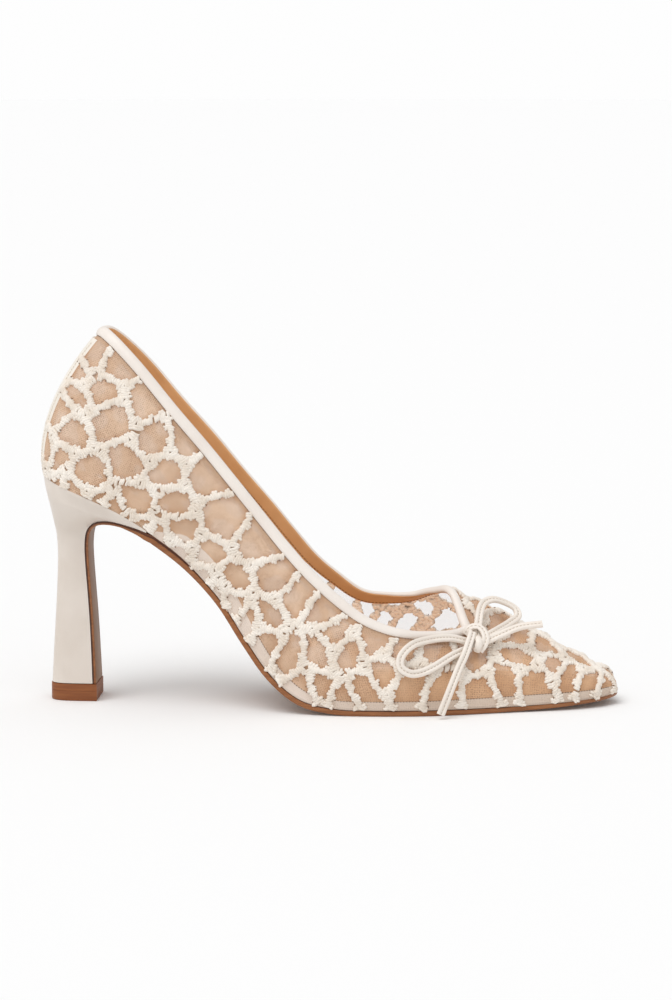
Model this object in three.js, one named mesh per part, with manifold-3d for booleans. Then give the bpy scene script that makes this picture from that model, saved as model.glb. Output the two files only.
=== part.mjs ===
// Court shoe with an embroidered mesh upper, a covered high heel and a strap bow.
// Right shoe, millimetres. +X is the toe, +Y the inner side of the foot, +Z up from the floor.
import * as THREE from 'three';
import Module from 'manifold-3d';
import { mergeVertices } from 'three/addons/utils/BufferGeometryUtils.js';

const wasm = await Module();
wasm.setup();

// Driving sizes of the last
const shoeLength = 237;
const ballWidth = 72;
const seatWidth = 49;
const heelHeight = 92.4;
const quarterHeight = 60.2;
const vampHeight = 31;
const toeSpring = 2;

// Driving sizes of the sole and heel
const soleThickness = 3.3;
const flapThickness = 1.2;
const soleStepInset = 0.6;
const soleEdgeRound = 0.5;
const seatLength = 46.5;
const heelWingTip = 0.9;
const heelStemWidth = 17;
const topPieceHeight = 7;
const topPieceLip = 0.3;

// Driving sizes of the upper and its trim
const wall = 1.2;
const featherInset = 0.6;
const insoleThickness = 1.6;
const insoleEdgeGap = 0.5;
const bindingWidth = 4.6;
const bindingInsideWidth = 3.4;
const bindingThickness = 0.9;
const bindingLap = 5;
const backStripWidth = 10;
const backStripThickness = 0.9;
const bowSize = 30;
const strapWidth = 3.1;
const strapThickness = 1.9;
const knotLength = 8.2;
const knotWidth = 9;
const knotThickness = 5;

// Gap between pieces that meet
const clearance = 0.3;

// How finely the curved pieces are faceted
const stepsPerStation = 2;
const upperRows = 9;
const strapSides = 8;
const strapSteps = 2;
const knotColumns = 14;
const knotRows = 10;

// Stations from the back of the heel to the toe tip, at the sole's edge. `along` is a share of the
// shoe's length, `lift` of the heel's height, `spring` of the toe spring. `outer` and `inner` are
// shares of the width that `of` names.
const widths = { seat: seatWidth, ball: ballWidth };
const stations = [
  { along: 0.008, lift: 1.0, spring: 0, of: 'seat', outer: 0.0, inner: 0.0 },
  { along: 0.018, lift: 0.996, spring: 0, of: 'seat', outer: -0.196, inner: 0.196 },
  { along: 0.046, lift: 0.972, spring: 0, of: 'seat', outer: -0.373, inner: 0.373 },
  { along: 0.093, lift: 0.928, spring: 0, of: 'seat', outer: -0.482, inner: 0.478 },
  { along: 0.152, lift: 0.856, spring: 0, of: 'seat', outer: -0.5, inner: 0.49 },
  { along: 0.211, lift: 0.755, spring: 0, of: 'seat', outer: -0.478, inner: 0.453 },
  { along: 0.27, lift: 0.63, spring: 0, of: 'ball', outer: -0.308, inner: 0.275 },
  { along: 0.325, lift: 0.474, spring: 0, of: 'ball', outer: -0.328, inner: 0.267 },
  { along: 0.371, lift: 0.294, spring: 0, of: 'ball', outer: -0.375, inner: 0.292 },
  { along: 0.414, lift: 0.142, spring: 0, of: 'ball', outer: -0.417, inner: 0.336 },
  { along: 0.464, lift: 0.04, spring: 0, of: 'ball', outer: -0.453, inner: 0.392 },
  { along: 0.523, lift: 0.005, spring: 0, of: 'ball', outer: -0.471, inner: 0.45 },
  { along: 0.582, lift: 0, spring: 0, of: 'ball', outer: -0.472, inner: 0.494 },
  { along: 0.633, lift: 0, spring: 0, of: 'ball', outer: -0.462, inner: 0.519 },
  { along: 0.675, lift: 0, spring: 0, of: 'ball', outer: -0.444, inner: 0.528 },
  { along: 0.709, lift: 0, spring: 0, of: 'ball', outer: -0.418, inner: 0.525 },
  { along: 0.743, lift: 0, spring: 0, of: 'ball', outer: -0.386, inner: 0.514 },
  { along: 0.789, lift: 0, spring: 0, of: 'ball', outer: -0.338, inner: 0.486 },
  { along: 0.835, lift: 0, spring: 0.08, of: 'ball', outer: -0.292, inner: 0.442 },
  { along: 0.882, lift: 0, spring: 0.27, of: 'ball', outer: -0.249, inner: 0.389 },
  { along: 0.924, lift: 0, spring: 0.5, of: 'ball', outer: -0.2, inner: 0.328 },
  { along: 0.962, lift: 0, spring: 0.75, of: 'ball', outer: -0.133, inner: 0.253 },
  { along: 0.989, lift: 0, spring: 0.94, of: 'ball', outer: -0.05, inner: 0.156 },
  { along: 1.0, lift: 0, spring: 1, of: 'ball', outer: 0.05, inner: 0.05 },
];

// Where each station's section ends at the topline, from the back of the heel to the throat.
// `forward` and `rise` are shares of the height that `tall` names, from the sole's edge, and `across`
// of the station's width. `swell` and `brow` push the wall outwards low down and high up, `low` says
// how far up the swell lies, and `drop` how far below the top the shoulder lies.
const heights = { quarter: quarterHeight, vamp: vampHeight };
const outerTops = [
  { tall: 'quarter', forward: 0.412, rise: 1.0, across: 0.0, low: 0.3, swell: 0.235, brow: 0.2, drop: 0.3 },
  { tall: 'quarter', forward: 0.416, rise: 1.0, across: -0.127, low: 0.3, swell: 0.2, brow: 0.2, drop: 0.3 },
  { tall: 'quarter', forward: 0.402, rise: 0.962, across: -0.229, low: 0.3, swell: 0.12, brow: 0.16, drop: 0.3 },
  { tall: 'quarter', forward: 0.385, rise: 0.859, across: -0.322, low: 0.3, swell: 0.046, brow: 0.114, drop: 0.3 },
  { tall: 'quarter', forward: 0.369, rise: 0.711, across: -0.38, low: 0.3, swell: 0.04, brow: 0.082, drop: 0.3 },
  { tall: 'quarter', forward: 0.352, rise: 0.614, across: -0.408, low: 0.3, swell: 0.05, brow: 0.067, drop: 0.3 },
  { tall: 'quarter', forward: 0.329, rise: 0.546, across: -0.296, low: 0.3, swell: 0.05, brow: 0.035, drop: 0.3 },
  { tall: 'quarter', forward: 0.309, rise: 0.538, across: -0.321, low: 0.3, swell: 0.05, brow: 0.035, drop: 0.3 },
  { tall: 'quarter', forward: 0.282, rise: 0.618, across: -0.339, low: 0.3, swell: 0.042, brow: 0.048, drop: 0.3 },
  { tall: 'quarter', forward: 0.266, rise: 0.678, across: -0.358, low: 0.3, swell: 0.04, brow: 0.06, drop: 0.3 },
  { tall: 'quarter', forward: 0.223, rise: 0.687, across: -0.372, low: 0.3, swell: 0.038, brow: 0.072, drop: 0.3 },
  { tall: 'vamp', forward: 0.323, rise: 1.171, across: -0.378, low: 0.3, swell: 0.04, brow: 0.08, drop: 0.3 },
  { tall: 'vamp', forward: 0.21, rise: 1.029, across: -0.369, low: 0.31, swell: 0.042, brow: 0.088, drop: 0.3 },
  { tall: 'vamp', forward: 0.11, rise: 0.958, across: -0.344, low: 0.33, swell: 0.045, brow: 0.1, drop: 0.3 },
  { tall: 'vamp', forward: 0.026, rise: 0.932, across: -0.297, low: 0.36, swell: 0.045, brow: 0.12, drop: 0.32 },
  { tall: 'vamp', forward: 0.0, rise: 0.913, across: -0.225, low: 0.38, swell: 0.04, brow: 0.135, drop: 0.36 },
];
const innerTops = [
  { tall: 'quarter', forward: 0.412, rise: 1.0, across: 0.0, low: 0.3, swell: 0.235, brow: 0.2, drop: 0.3 },
  { tall: 'quarter', forward: 0.416, rise: 1.0, across: 0.127, low: 0.3, swell: 0.2, brow: 0.2, drop: 0.3 },
  { tall: 'quarter', forward: 0.402, rise: 0.955, across: 0.229, low: 0.3, swell: 0.12, brow: 0.16, drop: 0.3 },
  { tall: 'quarter', forward: 0.379, rise: 0.848, across: 0.322, low: 0.3, swell: 0.046, brow: 0.114, drop: 0.3 },
  { tall: 'quarter', forward: 0.353, rise: 0.701, across: 0.38, low: 0.3, swell: 0.04, brow: 0.08, drop: 0.3 },
  { tall: 'quarter', forward: 0.329, rise: 0.613, across: 0.408, low: 0.3, swell: 0.05, brow: 0.065, drop: 0.3 },
  { tall: 'quarter', forward: 0.299, rise: 0.546, across: 0.296, low: 0.3, swell: 0.045, brow: 0.03, drop: 0.3 },
  { tall: 'quarter', forward: 0.266, rise: 0.557, across: 0.318, low: 0.3, swell: 0.04, brow: 0.025, drop: 0.3 },
  { tall: 'quarter', forward: 0.238, rise: 0.63, across: 0.338, low: 0.3, swell: 0.04, brow: 0.028, drop: 0.3 },
  { tall: 'quarter', forward: 0.223, rise: 0.671, across: 0.356, low: 0.3, swell: 0.04, brow: 0.044, drop: 0.3 },
  { tall: 'quarter', forward: 0.179, rise: 0.691, across: 0.369, low: 0.3, swell: 0.04, brow: 0.066, drop: 0.3 },
  { tall: 'vamp', forward: 0.226, rise: 1.216, across: 0.372, low: 0.3, swell: 0.04, brow: 0.098, drop: 0.3 },
  { tall: 'vamp', forward: 0.135, rise: 1.19, across: 0.35, low: 0.33, swell: 0.04, brow: 0.13, drop: 0.24 },
  { tall: 'vamp', forward: 0.065, rise: 1.216, across: 0.292, low: 0.36, swell: 0.04, brow: 0.18, drop: 0.14 },
  { tall: 'vamp', forward: 0.032, rise: 1.3, across: 0.203, low: 0.39, swell: 0.038, brow: 0.235, drop: 0.02 },
  { tall: 'vamp', forward: 0.026, rise: 1.319, across: 0.058, low: 0.41, swell: 0.034, brow: 0.3, drop: -0.14 },
];

// The crown line where the two sides of the vamp join, from the throat point to over the toe.
// `slope` is the rise across it towards the inner side and `pitch` the rise along it. `outerReach`
// and `innerReach` say how far each side's shoulder stands from it, as shares of the ball's width.
const crown = [
  { forward: -0.013, rise: 0.887, across: -0.125, slope: 1.0, pitch: 0, outerReach: 0.14, innerReach: 0.38 },
  { forward: -0.081, rise: 0.884, across: -0.063, slope: 0.8, pitch: -0.1, outerReach: 0.17, innerReach: 0.34 },
  { forward: -0.129, rise: 0.819, across: 0.0, slope: 0.5, pitch: -0.25, outerReach: 0.2, innerReach: 0.3 },
  { forward: -0.177, rise: 0.719, across: 0.042, slope: 0.28, pitch: -0.38, outerReach: 0.2, innerReach: 0.25 },
  { forward: -0.242, rise: 0.597, across: 0.067, slope: 0.12, pitch: -0.46, outerReach: 0.19, innerReach: 0.2 },
  { forward: -0.339, rise: 0.487, across: 0.076, slope: 0.06, pitch: -0.5, outerReach: 0.16, innerReach: 0.17 },
  { forward: -0.477, rise: 0.445, across: 0.076, slope: 0.05, pitch: -0.5, outerReach: 0.15, innerReach: 0.15 },
  { forward: -0.565, rise: 0.439, across: 0.076, slope: 0.05, pitch: -0.5, outerReach: 0.15, innerReach: 0.15 },
];
const toeStation = stations.length - 1;
const throatStation = stations.length - crown.length;
const loopCount = 2 * toeStation;
const vampSwell = 0.03;
const vampLow = { outerReach: 0.4, innerReach: 0.6 };

// Heel sections under the seat down to the top piece, each a plane slanting from the breast to the
// back. x places are shares of the seat's length, z places of the height above the top piece.
// `stem` widens the stem's width and `flare` opens the section towards the seat's width.
const heelSections = [
  { frontX: 0.935, frontZ: 0.776, backX: 0.056, backZ: 0.96, stem: 1, flare: 0.93 },
  { frontX: 0.839, frontZ: 0.79, backX: 0.075, backZ: 0.915, stem: 1, flare: 0.84 },
  { frontX: 0.731, frontZ: 0.801, backX: 0.097, backZ: 0.866, stem: 1, flare: 0.67 },
  { frontX: 0.624, frontZ: 0.803, backX: 0.116, backZ: 0.819, stem: 1, flare: 0.49 },
  { frontX: 0.533, frontZ: 0.793, backX: 0.133, backZ: 0.772, stem: 1, flare: 0.31 },
  { frontX: 0.465, frontZ: 0.767, backX: 0.148, backZ: 0.731, stem: 1, flare: 0.155 },
  { frontX: 0.428, frontZ: 0.729, backX: 0.155, backZ: 0.69, stem: 1, flare: 0.06 },
  { frontX: 0.415, frontZ: 0.666, backX: 0.159, backZ: 0.637, stem: 1, flare: 0.01 },
  { frontX: 0.419, frontZ: 0.584, backX: 0.158, backZ: 0.572, stem: 0.975, flare: 0 },
  { frontX: 0.437, frontZ: 0.443, backX: 0.148, backZ: 0.443, stem: 0.955, flare: 0 },
  { frontX: 0.454, frontZ: 0.302, backX: 0.133, backZ: 0.302, stem: 0.99, flare: 0 },
  { frontX: 0.467, frontZ: 0.149, backX: 0.116, backZ: 0.149, stem: 1.06, flare: 0 },
  { frontX: 0.477, frontZ: 0.0, backX: 0.101, backZ: 0.0, stem: 1.15, flare: 0 },
];
const heelRoundness = 2.7;
const heelTurns = 16;

// The bow's strap as offsets from the knot's middle, in shares of the bow's size.
const nearLoop = [
  { along: -0.08, inward: -0.05, up: -0.03 },
  { along: -0.35, inward: -0.14, up: 0.02 },
  { along: -0.67, inward: -0.37, up: 0.03 },
  { along: -0.84, inward: -0.54, up: 0 },
  { along: -0.97, inward: -0.64, up: -0.14 },
  { along: -0.97, inward: -0.67, up: -0.27 },
  { along: -0.85, inward: -0.67, up: -0.35 },
  { along: -0.71, inward: -0.62, up: -0.35 },
  { along: -0.56, inward: -0.49, up: -0.31 },
  { along: -0.34, inward: -0.24, up: -0.22 },
  { along: -0.08, inward: -0.09, up: -0.11 },
];
const farLoop = [
  { along: 0.02, inward: 0.03, up: 0.03 },
  { along: 0.05, inward: 0.38, up: 0.43 },
  { along: 0.12, inward: 0.53, up: 0.52 },
  { along: 0.22, inward: 0.59, up: 0.54 },
  { along: 0.41, inward: 0.66, up: 0.47 },
  { along: 0.55, inward: 0.66, up: 0.38 },
  { along: 0.58, inward: 0.59, up: 0.29 },
  { along: 0.47, inward: 0.46, up: 0.22 },
  { along: 0.3, inward: 0.26, up: 0.11 },
  { along: 0.08, inward: 0.03, up: 0 },
];
const sideTail = [
  { along: 0.08, inward: -0.02, up: -0.05 },
  { along: 0.33, inward: 0.09, up: 0.07 },
  { along: 0.59, inward: 0.16, up: 0.2 },
  { along: 0.9, inward: 0.19, up: 0.25 },
];
const lowTail = [
  { along: 0, inward: -0.06, up: -0.06 },
  { along: -0.07, inward: -0.13, up: -0.08 },
  { along: -0.13, inward: -0.31, up: -0.16 },
  { along: -0.19, inward: -0.46, up: -0.28 },
  { along: -0.33, inward: -0.64, up: -0.55 },
  { along: -0.41, inward: -0.72, up: -0.82 },
];

const vec = (x, y, z) => new THREE.Vector3(x, y, z);
const upward = vec(0, 0, 1);

function smoothMix(before, from, to, after, share) {
  const out = to - before;
  const into = after - from;
  const squared = share * share;
  const cubed = squared * share;
  const bend = 2 * from - 2 * to + 0.5 * (out + into);
  return bend * cubed + (3 * to - 3 * from - out - 0.5 * into) * squared + 0.5 * out * share + from;
}

// A smooth value between the rows of a closed loop or, with ends, of an open list.
function between(values, place, closed) {
  const last = values.length - 1;
  const index = Math.floor(place);
  const wrap = (i) => ((i % values.length) + values.length) % values.length;
  const pick = (i) => values[closed ? wrap(i) : Math.min(Math.max(i, 0), last)];
  return smoothMix(pick(index - 1), pick(index), pick(index + 1), pick(index + 2), place - index);
}

// One closed list from a column: the outer side from heel to toe, then the inner side back.
function loopOf(outerValue, innerValue) {
  const outerSide = stations.map((row, i) => outerValue(row, i));
  const innerSide = stations.map((row, i) => innerValue(row, i)).slice(1, toeStation).reverse();
  return [...outerSide, ...innerSide];
}

const edgeX = loopOf((row) => row.along * shoeLength, (row) => row.along * shoeLength);
const edgeY = loopOf((row) => row.outer * widths[row.of], (row) => row.inner * widths[row.of]);
const bedAt = (row) => soleThickness + row.lift * (heelHeight - soleThickness) + row.spring * toeSpring;
const bedZ = loopOf(bedAt, bedAt);

// The sole's edge at a place round the loop: its top corner, its level normal and the bed's normal.
function edgePoint(place) {
  return vec(between(edgeX, place, true), between(edgeY, place, true), between(bedZ, place, true));
}

function edgeFrame(place) {
  const step = 0.02;
  const ahead = edgePoint(place + step);
  const behind = edgePoint(place - step);
  const run = ahead.clone().sub(behind);
  const out = vec(run.y, -run.x, 0).normalize();
  return { point: edgePoint(place), out };
}

function bedNormal(place) {
  const station = place > toeStation ? loopCount - place : place;
  const step = 0.05;
  const low = Math.max(station - step, 0);
  const high = Math.min(station + step, toeStation);
  const run = edgePoint(high).sub(edgePoint(low));
  return vec(-run.z, 0, run.x).normalize();
}

// A point in from the sole's edge and up from the bed, square to both.
function onBed(place, inset, height) {
  const { point, out } = edgeFrame(place);
  const normal = bedNormal(place);
  return point.addScaledVector(out, -inset).addScaledVector(normal, height);
}

// The four control points of each station's section, from the sole's edge to its top.
function sectionControls(row, index, tops, side, reachName) {
  const place = side < 0 ? index : (loopCount - index) % loopCount;
  const foot = onBed(place, featherInset, clearance);
  const edge = row.along * shoeLength;
  const bed = bedAt(row);
  const width = widths[row.of];
  if (index < throatStation) {
    const top = tops[index];
    const tall = heights[top.tall];
    const end = vec(edge + top.forward * tall, top.across * width, bed + top.rise * tall);
    const rise = end.clone().sub(foot);
    const out = edgeFrame(place).out;
    const low = vec(rise.x, 0, rise.z).multiplyScalar(top.low).add(foot);
    low.addScaledVector(out, top.swell * width);
    const high = vec(rise.x, 0, rise.z).multiplyScalar(-top.drop).addScaledVector(out, top.brow * width);
    return { foot, low, high, end };
  }
  const top = crown[index - throatStation];
  const end = vec(edge + top.forward * vampHeight, top.across * width, bed + top.rise * vampHeight);
  const rise = end.clone().sub(foot);
  const level = vec(-rise.x, -rise.y, 0).normalize();
  const reach = top[reachName] * ballWidth;
  const fall = reach * (top.slope * level.y + top.pitch * level.x);
  const high = level.clone().multiplyScalar(reach).addScaledVector(upward, fall);
  const low = foot.clone().addScaledVector(upward, rise.z * vampLow[reachName]);
  low.addScaledVector(edgeFrame(place).out, vampSwell * width);
  return { foot, low, high, end };
}

const outerControls = stations.map((row, i) => sectionControls(row, i, outerTops, -1, 'outerReach'));
const innerControls = stations.map((row, i) => sectionControls(row, i, innerTops, 1, 'innerReach'));
const controlLoops = {};
for (const name of ['foot', 'low', 'high', 'end']) {
  for (const axis of ['x', 'y', 'z']) {
    const outerValue = (row, i) => outerControls[i][name][axis];
    const innerValue = (row, i) => innerControls[i][name][axis];
    controlLoops[name + axis] = loopOf(outerValue, innerValue);
  }
}
const crownLine = ['x', 'y', 'z'].map((axis) => outerControls.slice(throatStation).map((c) => c.end[axis]));

function control(name, place) {
  return vec(...['x', 'y', 'z'].map((axis) => between(controlLoops[name + axis], place, true)));
}

// Where a section ends: on the crown line in the vamp, and on the topline behind the throat.
function sectionEnd(place) {
  const station = place > toeStation ? loopCount - place : place;
  if (station >= throatStation) {
    return vec(...crownLine.map((values) => between(values, station - throatStation, false)));
  }
  return control('end', place);
}

// The upper's outer face: `place` runs round the loop of stations, `share` from foot to end.
function upperPoint(place, share) {
  const foot = control('foot', place);
  const low = control('low', place);
  const end = sectionEnd(place);
  const high = control('high', place).add(end);
  const rest = 1 - share;
  const point = foot.multiplyScalar(rest ** 3).addScaledVector(low, 3 * rest * rest * share);
  return point.addScaledVector(high, 3 * rest * share * share).addScaledVector(end, share ** 3);
}

// A surface of shared vertices, built from triangles of points.
class Skin {
  constructor() {
    this.points = [];
    this.faces = [];
    this.known = new Map();
  }

  vertex(point) {
    const key = [point.x, point.y, point.z].map((value) => Math.round(value * 500)).join();
    if (!this.known.has(key)) {
      this.known.set(key, this.points.length);
      this.points.push(point.clone());
    }
    return this.known.get(key);
  }

  face(a, b, c) {
    if (a !== b && b !== c && c !== a) {
      this.faces.push([a, b, c]);
    }
  }

  quad(a, b, c, d) {
    this.face(a, b, c);
    this.face(a, c, d);
  }

  normals() {
    const normals = this.points.map(() => vec(0, 0, 0));
    for (const [a, b, c] of this.faces) {
      const side = this.points[b].clone().sub(this.points[a]);
      const normal = side.cross(this.points[c].clone().sub(this.points[a]));
      normals[a].add(normal);
      normals[b].add(normal);
      normals[c].add(normal);
    }
    return normals.map((normal) => normal.normalize());
  }

  // The edges that only one face uses, each in that face's direction.
  rim() {
    const used = new Set(this.faces.flatMap(([a, b, c]) => [`${a} ${b}`, `${b} ${c}`, `${c} ${a}`]));
    const loose = [...used].filter((edge) => !used.has(edge.split(' ').reverse().join(' ')));
    return loose.map((edge) => edge.split(' ').map(Number));
  }

  // A closed wall between two offsets of this surface.
  wallBetween(nearOffset, farOffset) {
    const normals = this.normals();
    const count = this.points.length;
    const near = this.points.map((point, i) => point.clone().addScaledVector(normals[i], nearOffset));
    const far = this.points.map((point, i) => point.clone().addScaledVector(normals[i], farOffset));
    const faces = this.faces.map((face) => [...face]);
    for (const [a, b, c] of this.faces) {
      faces.push([c + count, b + count, a + count]);
    }
    for (const [a, b] of this.rim()) {
      faces.push([b, a, a + count], [b, a + count, b + count]);
    }
    return solidFrom([...far, ...near], faces);
  }
}

function solidFrom(points, faces) {
  let volume = 0;
  for (const [a, b, c] of faces) {
    volume += points[a].dot(points[b].clone().cross(points[c]));
  }
  const ordered = volume < 0 ? faces.map(([a, b, c]) => [c, b, a]) : faces;
  const geometry = new THREE.BufferGeometry();
  const positions = points.flatMap((point) => [point.x, point.y, point.z]);
  geometry.setAttribute('position', new THREE.Float32BufferAttribute(positions, 3));
  geometry.setIndex(ordered.flat());
  return geometry;
}

// A solid through closed rings of points, with its end caps laddered from side to side.
function loft(rings) {
  const skin = new Skin();
  const count = rings[0].length;
  const ids = rings.map((ring) => ring.map((point) => skin.vertex(point)));
  for (let r = 0; r + 1 < ids.length; r += 1) {
    for (let i = 0; i < count; i += 1) {
      const next = (i + 1) % count;
      skin.quad(ids[r][i], ids[r][next], ids[r + 1][next], ids[r + 1][i]);
    }
  }
  const first = ids[0];
  const last = ids[ids.length - 1];
  for (let i = 0; i + 1 < count / 2; i += 1) {
    const far = count - 1 - i;
    skin.quad(first[far], first[far - 1], first[i + 1], first[i]);
    skin.quad(last[i], last[i + 1], last[far - 1], last[far]);
  }
  return solidFrom(skin.points, skin.faces);
}

function toManifold(geometry) {
  const bare = new THREE.BufferGeometry();
  bare.setAttribute('position', geometry.getAttribute('position'));
  bare.setIndex(geometry.getIndex());
  const merged = mergeVertices(bare);
  const vertProperties = new Float32Array(merged.getAttribute('position').array);
  const triVerts = new Uint32Array(merged.getIndex().array);
  return new wasm.Manifold(new wasm.Mesh({ numProp: 3, vertProperties, triVerts }));
}

function fromManifold(solid) {
  const mesh = solid.getMesh();
  const geometry = new THREE.BufferGeometry();
  geometry.setAttribute('position', new THREE.Float32BufferAttribute(mesh.vertProperties, 3));
  geometry.setIndex(new THREE.Uint32BufferAttribute(mesh.triVerts, 1));
  return geometry;
}

// What is left of a cut solid, without the crumbs that a cut between facets leaves.
function largestPart(solid) {
  const parts = solid.decompose();
  parts.sort((one, other) => other.volume() - one.volume());
  return fromManifold(parts[0]);
}

// Places round the loop, or along the stations of one side, at the faceting step.
function placesFrom(first, last) {
  const count = Math.round((last - first) * stepsPerStation);
  return Array.from({ length: count + 1 }, (_, i) => first + (i * (last - first)) / count);
}

function upperSkin() {
  const skin = new Skin();
  const places = placesFrom(0, loopCount);
  const columns = places.map((place) => {
    const turn = place % loopCount;
    return Array.from({ length: upperRows + 1 }, (_, r) => skin.vertex(upperPoint(turn, r / upperRows)));
  });
  for (let c = 0; c + 1 < columns.length; c += 1) {
    for (let r = 0; r < upperRows; r += 1) {
      skin.quad(columns[c][r], columns[c + 1][r], columns[c + 1][r + 1], columns[c][r + 1]);
    }
  }
  return skin;
}

// The nearest point of the upper's outer face, and its normal there.
function nearestOn(skin, normals, target) {
  const triangle = new THREE.Triangle();
  const spot = vec(0, 0, 0);
  const weights = vec(0, 0, 0);
  let best = { distance: Infinity };
  for (const [a, b, c] of skin.faces) {
    triangle.set(skin.points[a], skin.points[b], skin.points[c]);
    triangle.closestPointToPoint(target, spot);
    const distance = spot.distanceToSquared(target);
    if (distance < best.distance) {
      triangle.getBarycoord(spot, weights);
      const normal = normals[a].clone().multiplyScalar(weights.x);
      normal.addScaledVector(normals[b], weights.y).addScaledVector(normals[c], weights.z).normalize();
      best = { distance, point: spot.clone(), normal };
    }
  }
  return best;
}

// The binding folds over the topline, from the throat round the heel and back to the throat.
function bindingGeometry(skin) {
  const normals = skin.normals();
  const places = placesFrom(-throatStation, throatStation).reverse();
  const line = places.map((place) => sectionEnd((place + loopCount) % loopCount));
  const lap = line[0].clone().sub(line[1]).normalize().multiplyScalar(bindingLap);
  const stop = line[line.length - 2].clone().sub(line[0]).normalize();
  stop.multiplyScalar(bindingThickness + clearance);
  const kept = [line[0].clone().add(lap), ...line.slice(0, -1), line[0].clone().add(stop)];
  const outside = clearance + bindingThickness;
  const inside = -wall - clearance - bindingThickness;
  const profile = [
    { deep: bindingWidth, off: clearance },
    { deep: bindingWidth / 2, off: clearance },
    { deep: -clearance, off: clearance },
    { deep: -clearance, off: -wall - clearance },
    { deep: bindingInsideWidth, off: -wall - clearance },
    { deep: bindingInsideWidth, off: inside },
    { deep: 0, off: inside },
    { deep: -clearance - bindingThickness, off: -wall },
    { deep: -clearance - bindingThickness, off: 0 },
    { deep: 0, off: outside },
    { deep: bindingWidth / 2, off: outside },
    { deep: bindingWidth, off: outside },
  ];
  const rings = kept.map((point, i) => {
    const ahead = kept[Math.min(i + 1, kept.length - 1)];
    const behind = kept[Math.max(i - 1, 0)];
    const run = ahead.clone().sub(behind).normalize();
    const normal = nearestOn(skin, normals, point).normal;
    const deepWay = normal.clone().cross(run).normalize();
    return profile.map(({ deep, off }) => {
      if (deep <= 0) {
        return point.clone().addScaledVector(deepWay, deep).addScaledVector(normal, off);
      }
      const spot = nearestOn(skin, normals, point.clone().addScaledVector(deepWay, deep));
      return spot.point.addScaledVector(spot.normal, off);
    });
  });
  const grown = toManifold(skin.wallBetween(clearance / 2, -wall - clearance / 2));
  const keptClear = grown.add(grown.translate([-clearance / 2, 0, 0]));
  return largestPart(toManifold(loft(rings)).subtract(keptClear));
}

// The strip over the back seam, cut from the upper's own outer face.
function backStripGeometry() {
  const skin = new Skin();
  const columns = 4;
  const rows = 12;
  const lowest = 0.02;
  const footWidthShare = 0.75;
  const topWidthShare = 1.25;
  const highest = 1 - (bindingWidth + 2 * clearance) / quarterHeight;
  const halfPlace = backStripWidth / 2 / edgePoint(0).distanceTo(edgePoint(1));
  const grid = Array.from({ length: columns + 1 }, (_, c) => {
    return Array.from({ length: rows + 1 }, (__, r) => {
      const share = lowest + ((highest - lowest) * r) / rows;
      const narrowing = footWidthShare + (topWidthShare - footWidthShare) * share;
      const place = ((2 * c) / columns - 1) * halfPlace * narrowing;
      return skin.vertex(upperPoint((place + loopCount) % loopCount, share));
    });
  });
  for (let c = 0; c < columns; c += 1) {
    for (let r = 0; r < rows; r += 1) {
      skin.quad(grid[c][r], grid[c + 1][r], grid[c + 1][r + 1], grid[c][r + 1]);
    }
  }
  return skin.wallBetween(clearance, clearance + backStripThickness);
}

// The station place at a length along the sole's edge.
function placeAt(length) {
  let low = 0;
  let high = toeStation;
  while (high - low > 1e-6) {
    const middle = (low + high) / 2;
    if (between(edgeX, middle, true) < length) {
      low = middle;
    } else {
      high = middle;
    }
  }
  return low;
}

// The heel's height is measured at the back of the seat; its foot stands on the top piece.
const heelFoot = topPieceHeight + clearance;
const heelRise = heelHeight - heelFoot;
const seatStation = placeAt(seatLength);
const heelHalf = (row) => (row.stem * heelStemWidth) / 2 + (row.flare * (seatWidth - heelStemWidth)) / 2;
const frontOf = (row) => vec(row.frontX * seatLength, 0, heelFoot + row.frontZ * heelRise);
const backOf = (row) => vec(row.backX * seatLength, 0, heelFoot + row.backZ * heelRise);
const wingFront = edgePoint(seatStation).setY(0).add(vec(0, 0, -heelWingTip));

// A heel section, from its front corner on the outer side round the back to the inner one.
function heelRing(front, back, half) {
  const ring = [];
  for (let i = 0; i <= heelTurns; i += 1) {
    const angle = (Math.PI * i) / heelTurns;
    const across = -Math.cos(angle);
    const rearward = Math.sin(angle) ** (2 / heelRoundness);
    const side = Math.sign(across) * Math.abs(across) ** (2 / heelRoundness);
    ring.push(front.clone().lerp(back, rearward).setY(side * half));
  }
  return ring;
}

// The heel's top section, under the upper's edge and shaped as the sole's edge is there.
function seatRing(drop) {
  const rearX = edgePoint(0).x;
  const ring = [];
  for (let i = 0; i <= heelTurns; i += 1) {
    const angle = (Math.PI * i) / heelTurns;
    const rearward = Math.sin(angle) ** (2 / heelRoundness);
    const place = placeAt(seatLength + (rearX - seatLength) * rearward);
    const turn = Math.cos(angle) > 0 ? place : loopCount - place;
    ring.push(edgePoint(turn % loopCount).add(vec(0, 0, -drop)));
  }
  return ring;
}

function heelGeometry() {
  const rings = [seatRing(0), seatRing(heelWingTip)];
  for (const row of heelSections) {
    rings.push(heelRing(frontOf(row), backOf(row), heelHalf(row)));
  }
  return loft(rings);
}

// The sole's edge profile: a set-back upper band, a lower band and a rounded corner. Depths are
// shares of the sole's thickness there.
const upperBandEnd = 0.36;
const lowerBandStart = 0.42;
const cornerStart = 0.84;
const soleProfile = [
  { inset: soleStepInset, depth: 0 },
  { inset: soleStepInset, depth: upperBandEnd },
  { inset: 0, depth: lowerBandStart },
  { inset: 0, depth: cornerStart },
  { inset: soleEdgeRound, depth: 1 },
];

function soleRing(outerPoint, innerPoint, thickness) {
  const outerSide = soleProfile.map(({ inset, depth }) => outerPoint(inset, -depth * thickness));
  const innerSide = soleProfile.map(({ inset, depth }) => innerPoint(inset, -depth * thickness));
  return [...outerSide, ...innerSide.reverse()];
}

// Under the foot the sole ends at a station behind which the heel's seat begins. Over the heel's first
// sections it thins to the flap that runs down the breast.
const lastSoleStation = 5;
const thinningSections = 3.5;

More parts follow.
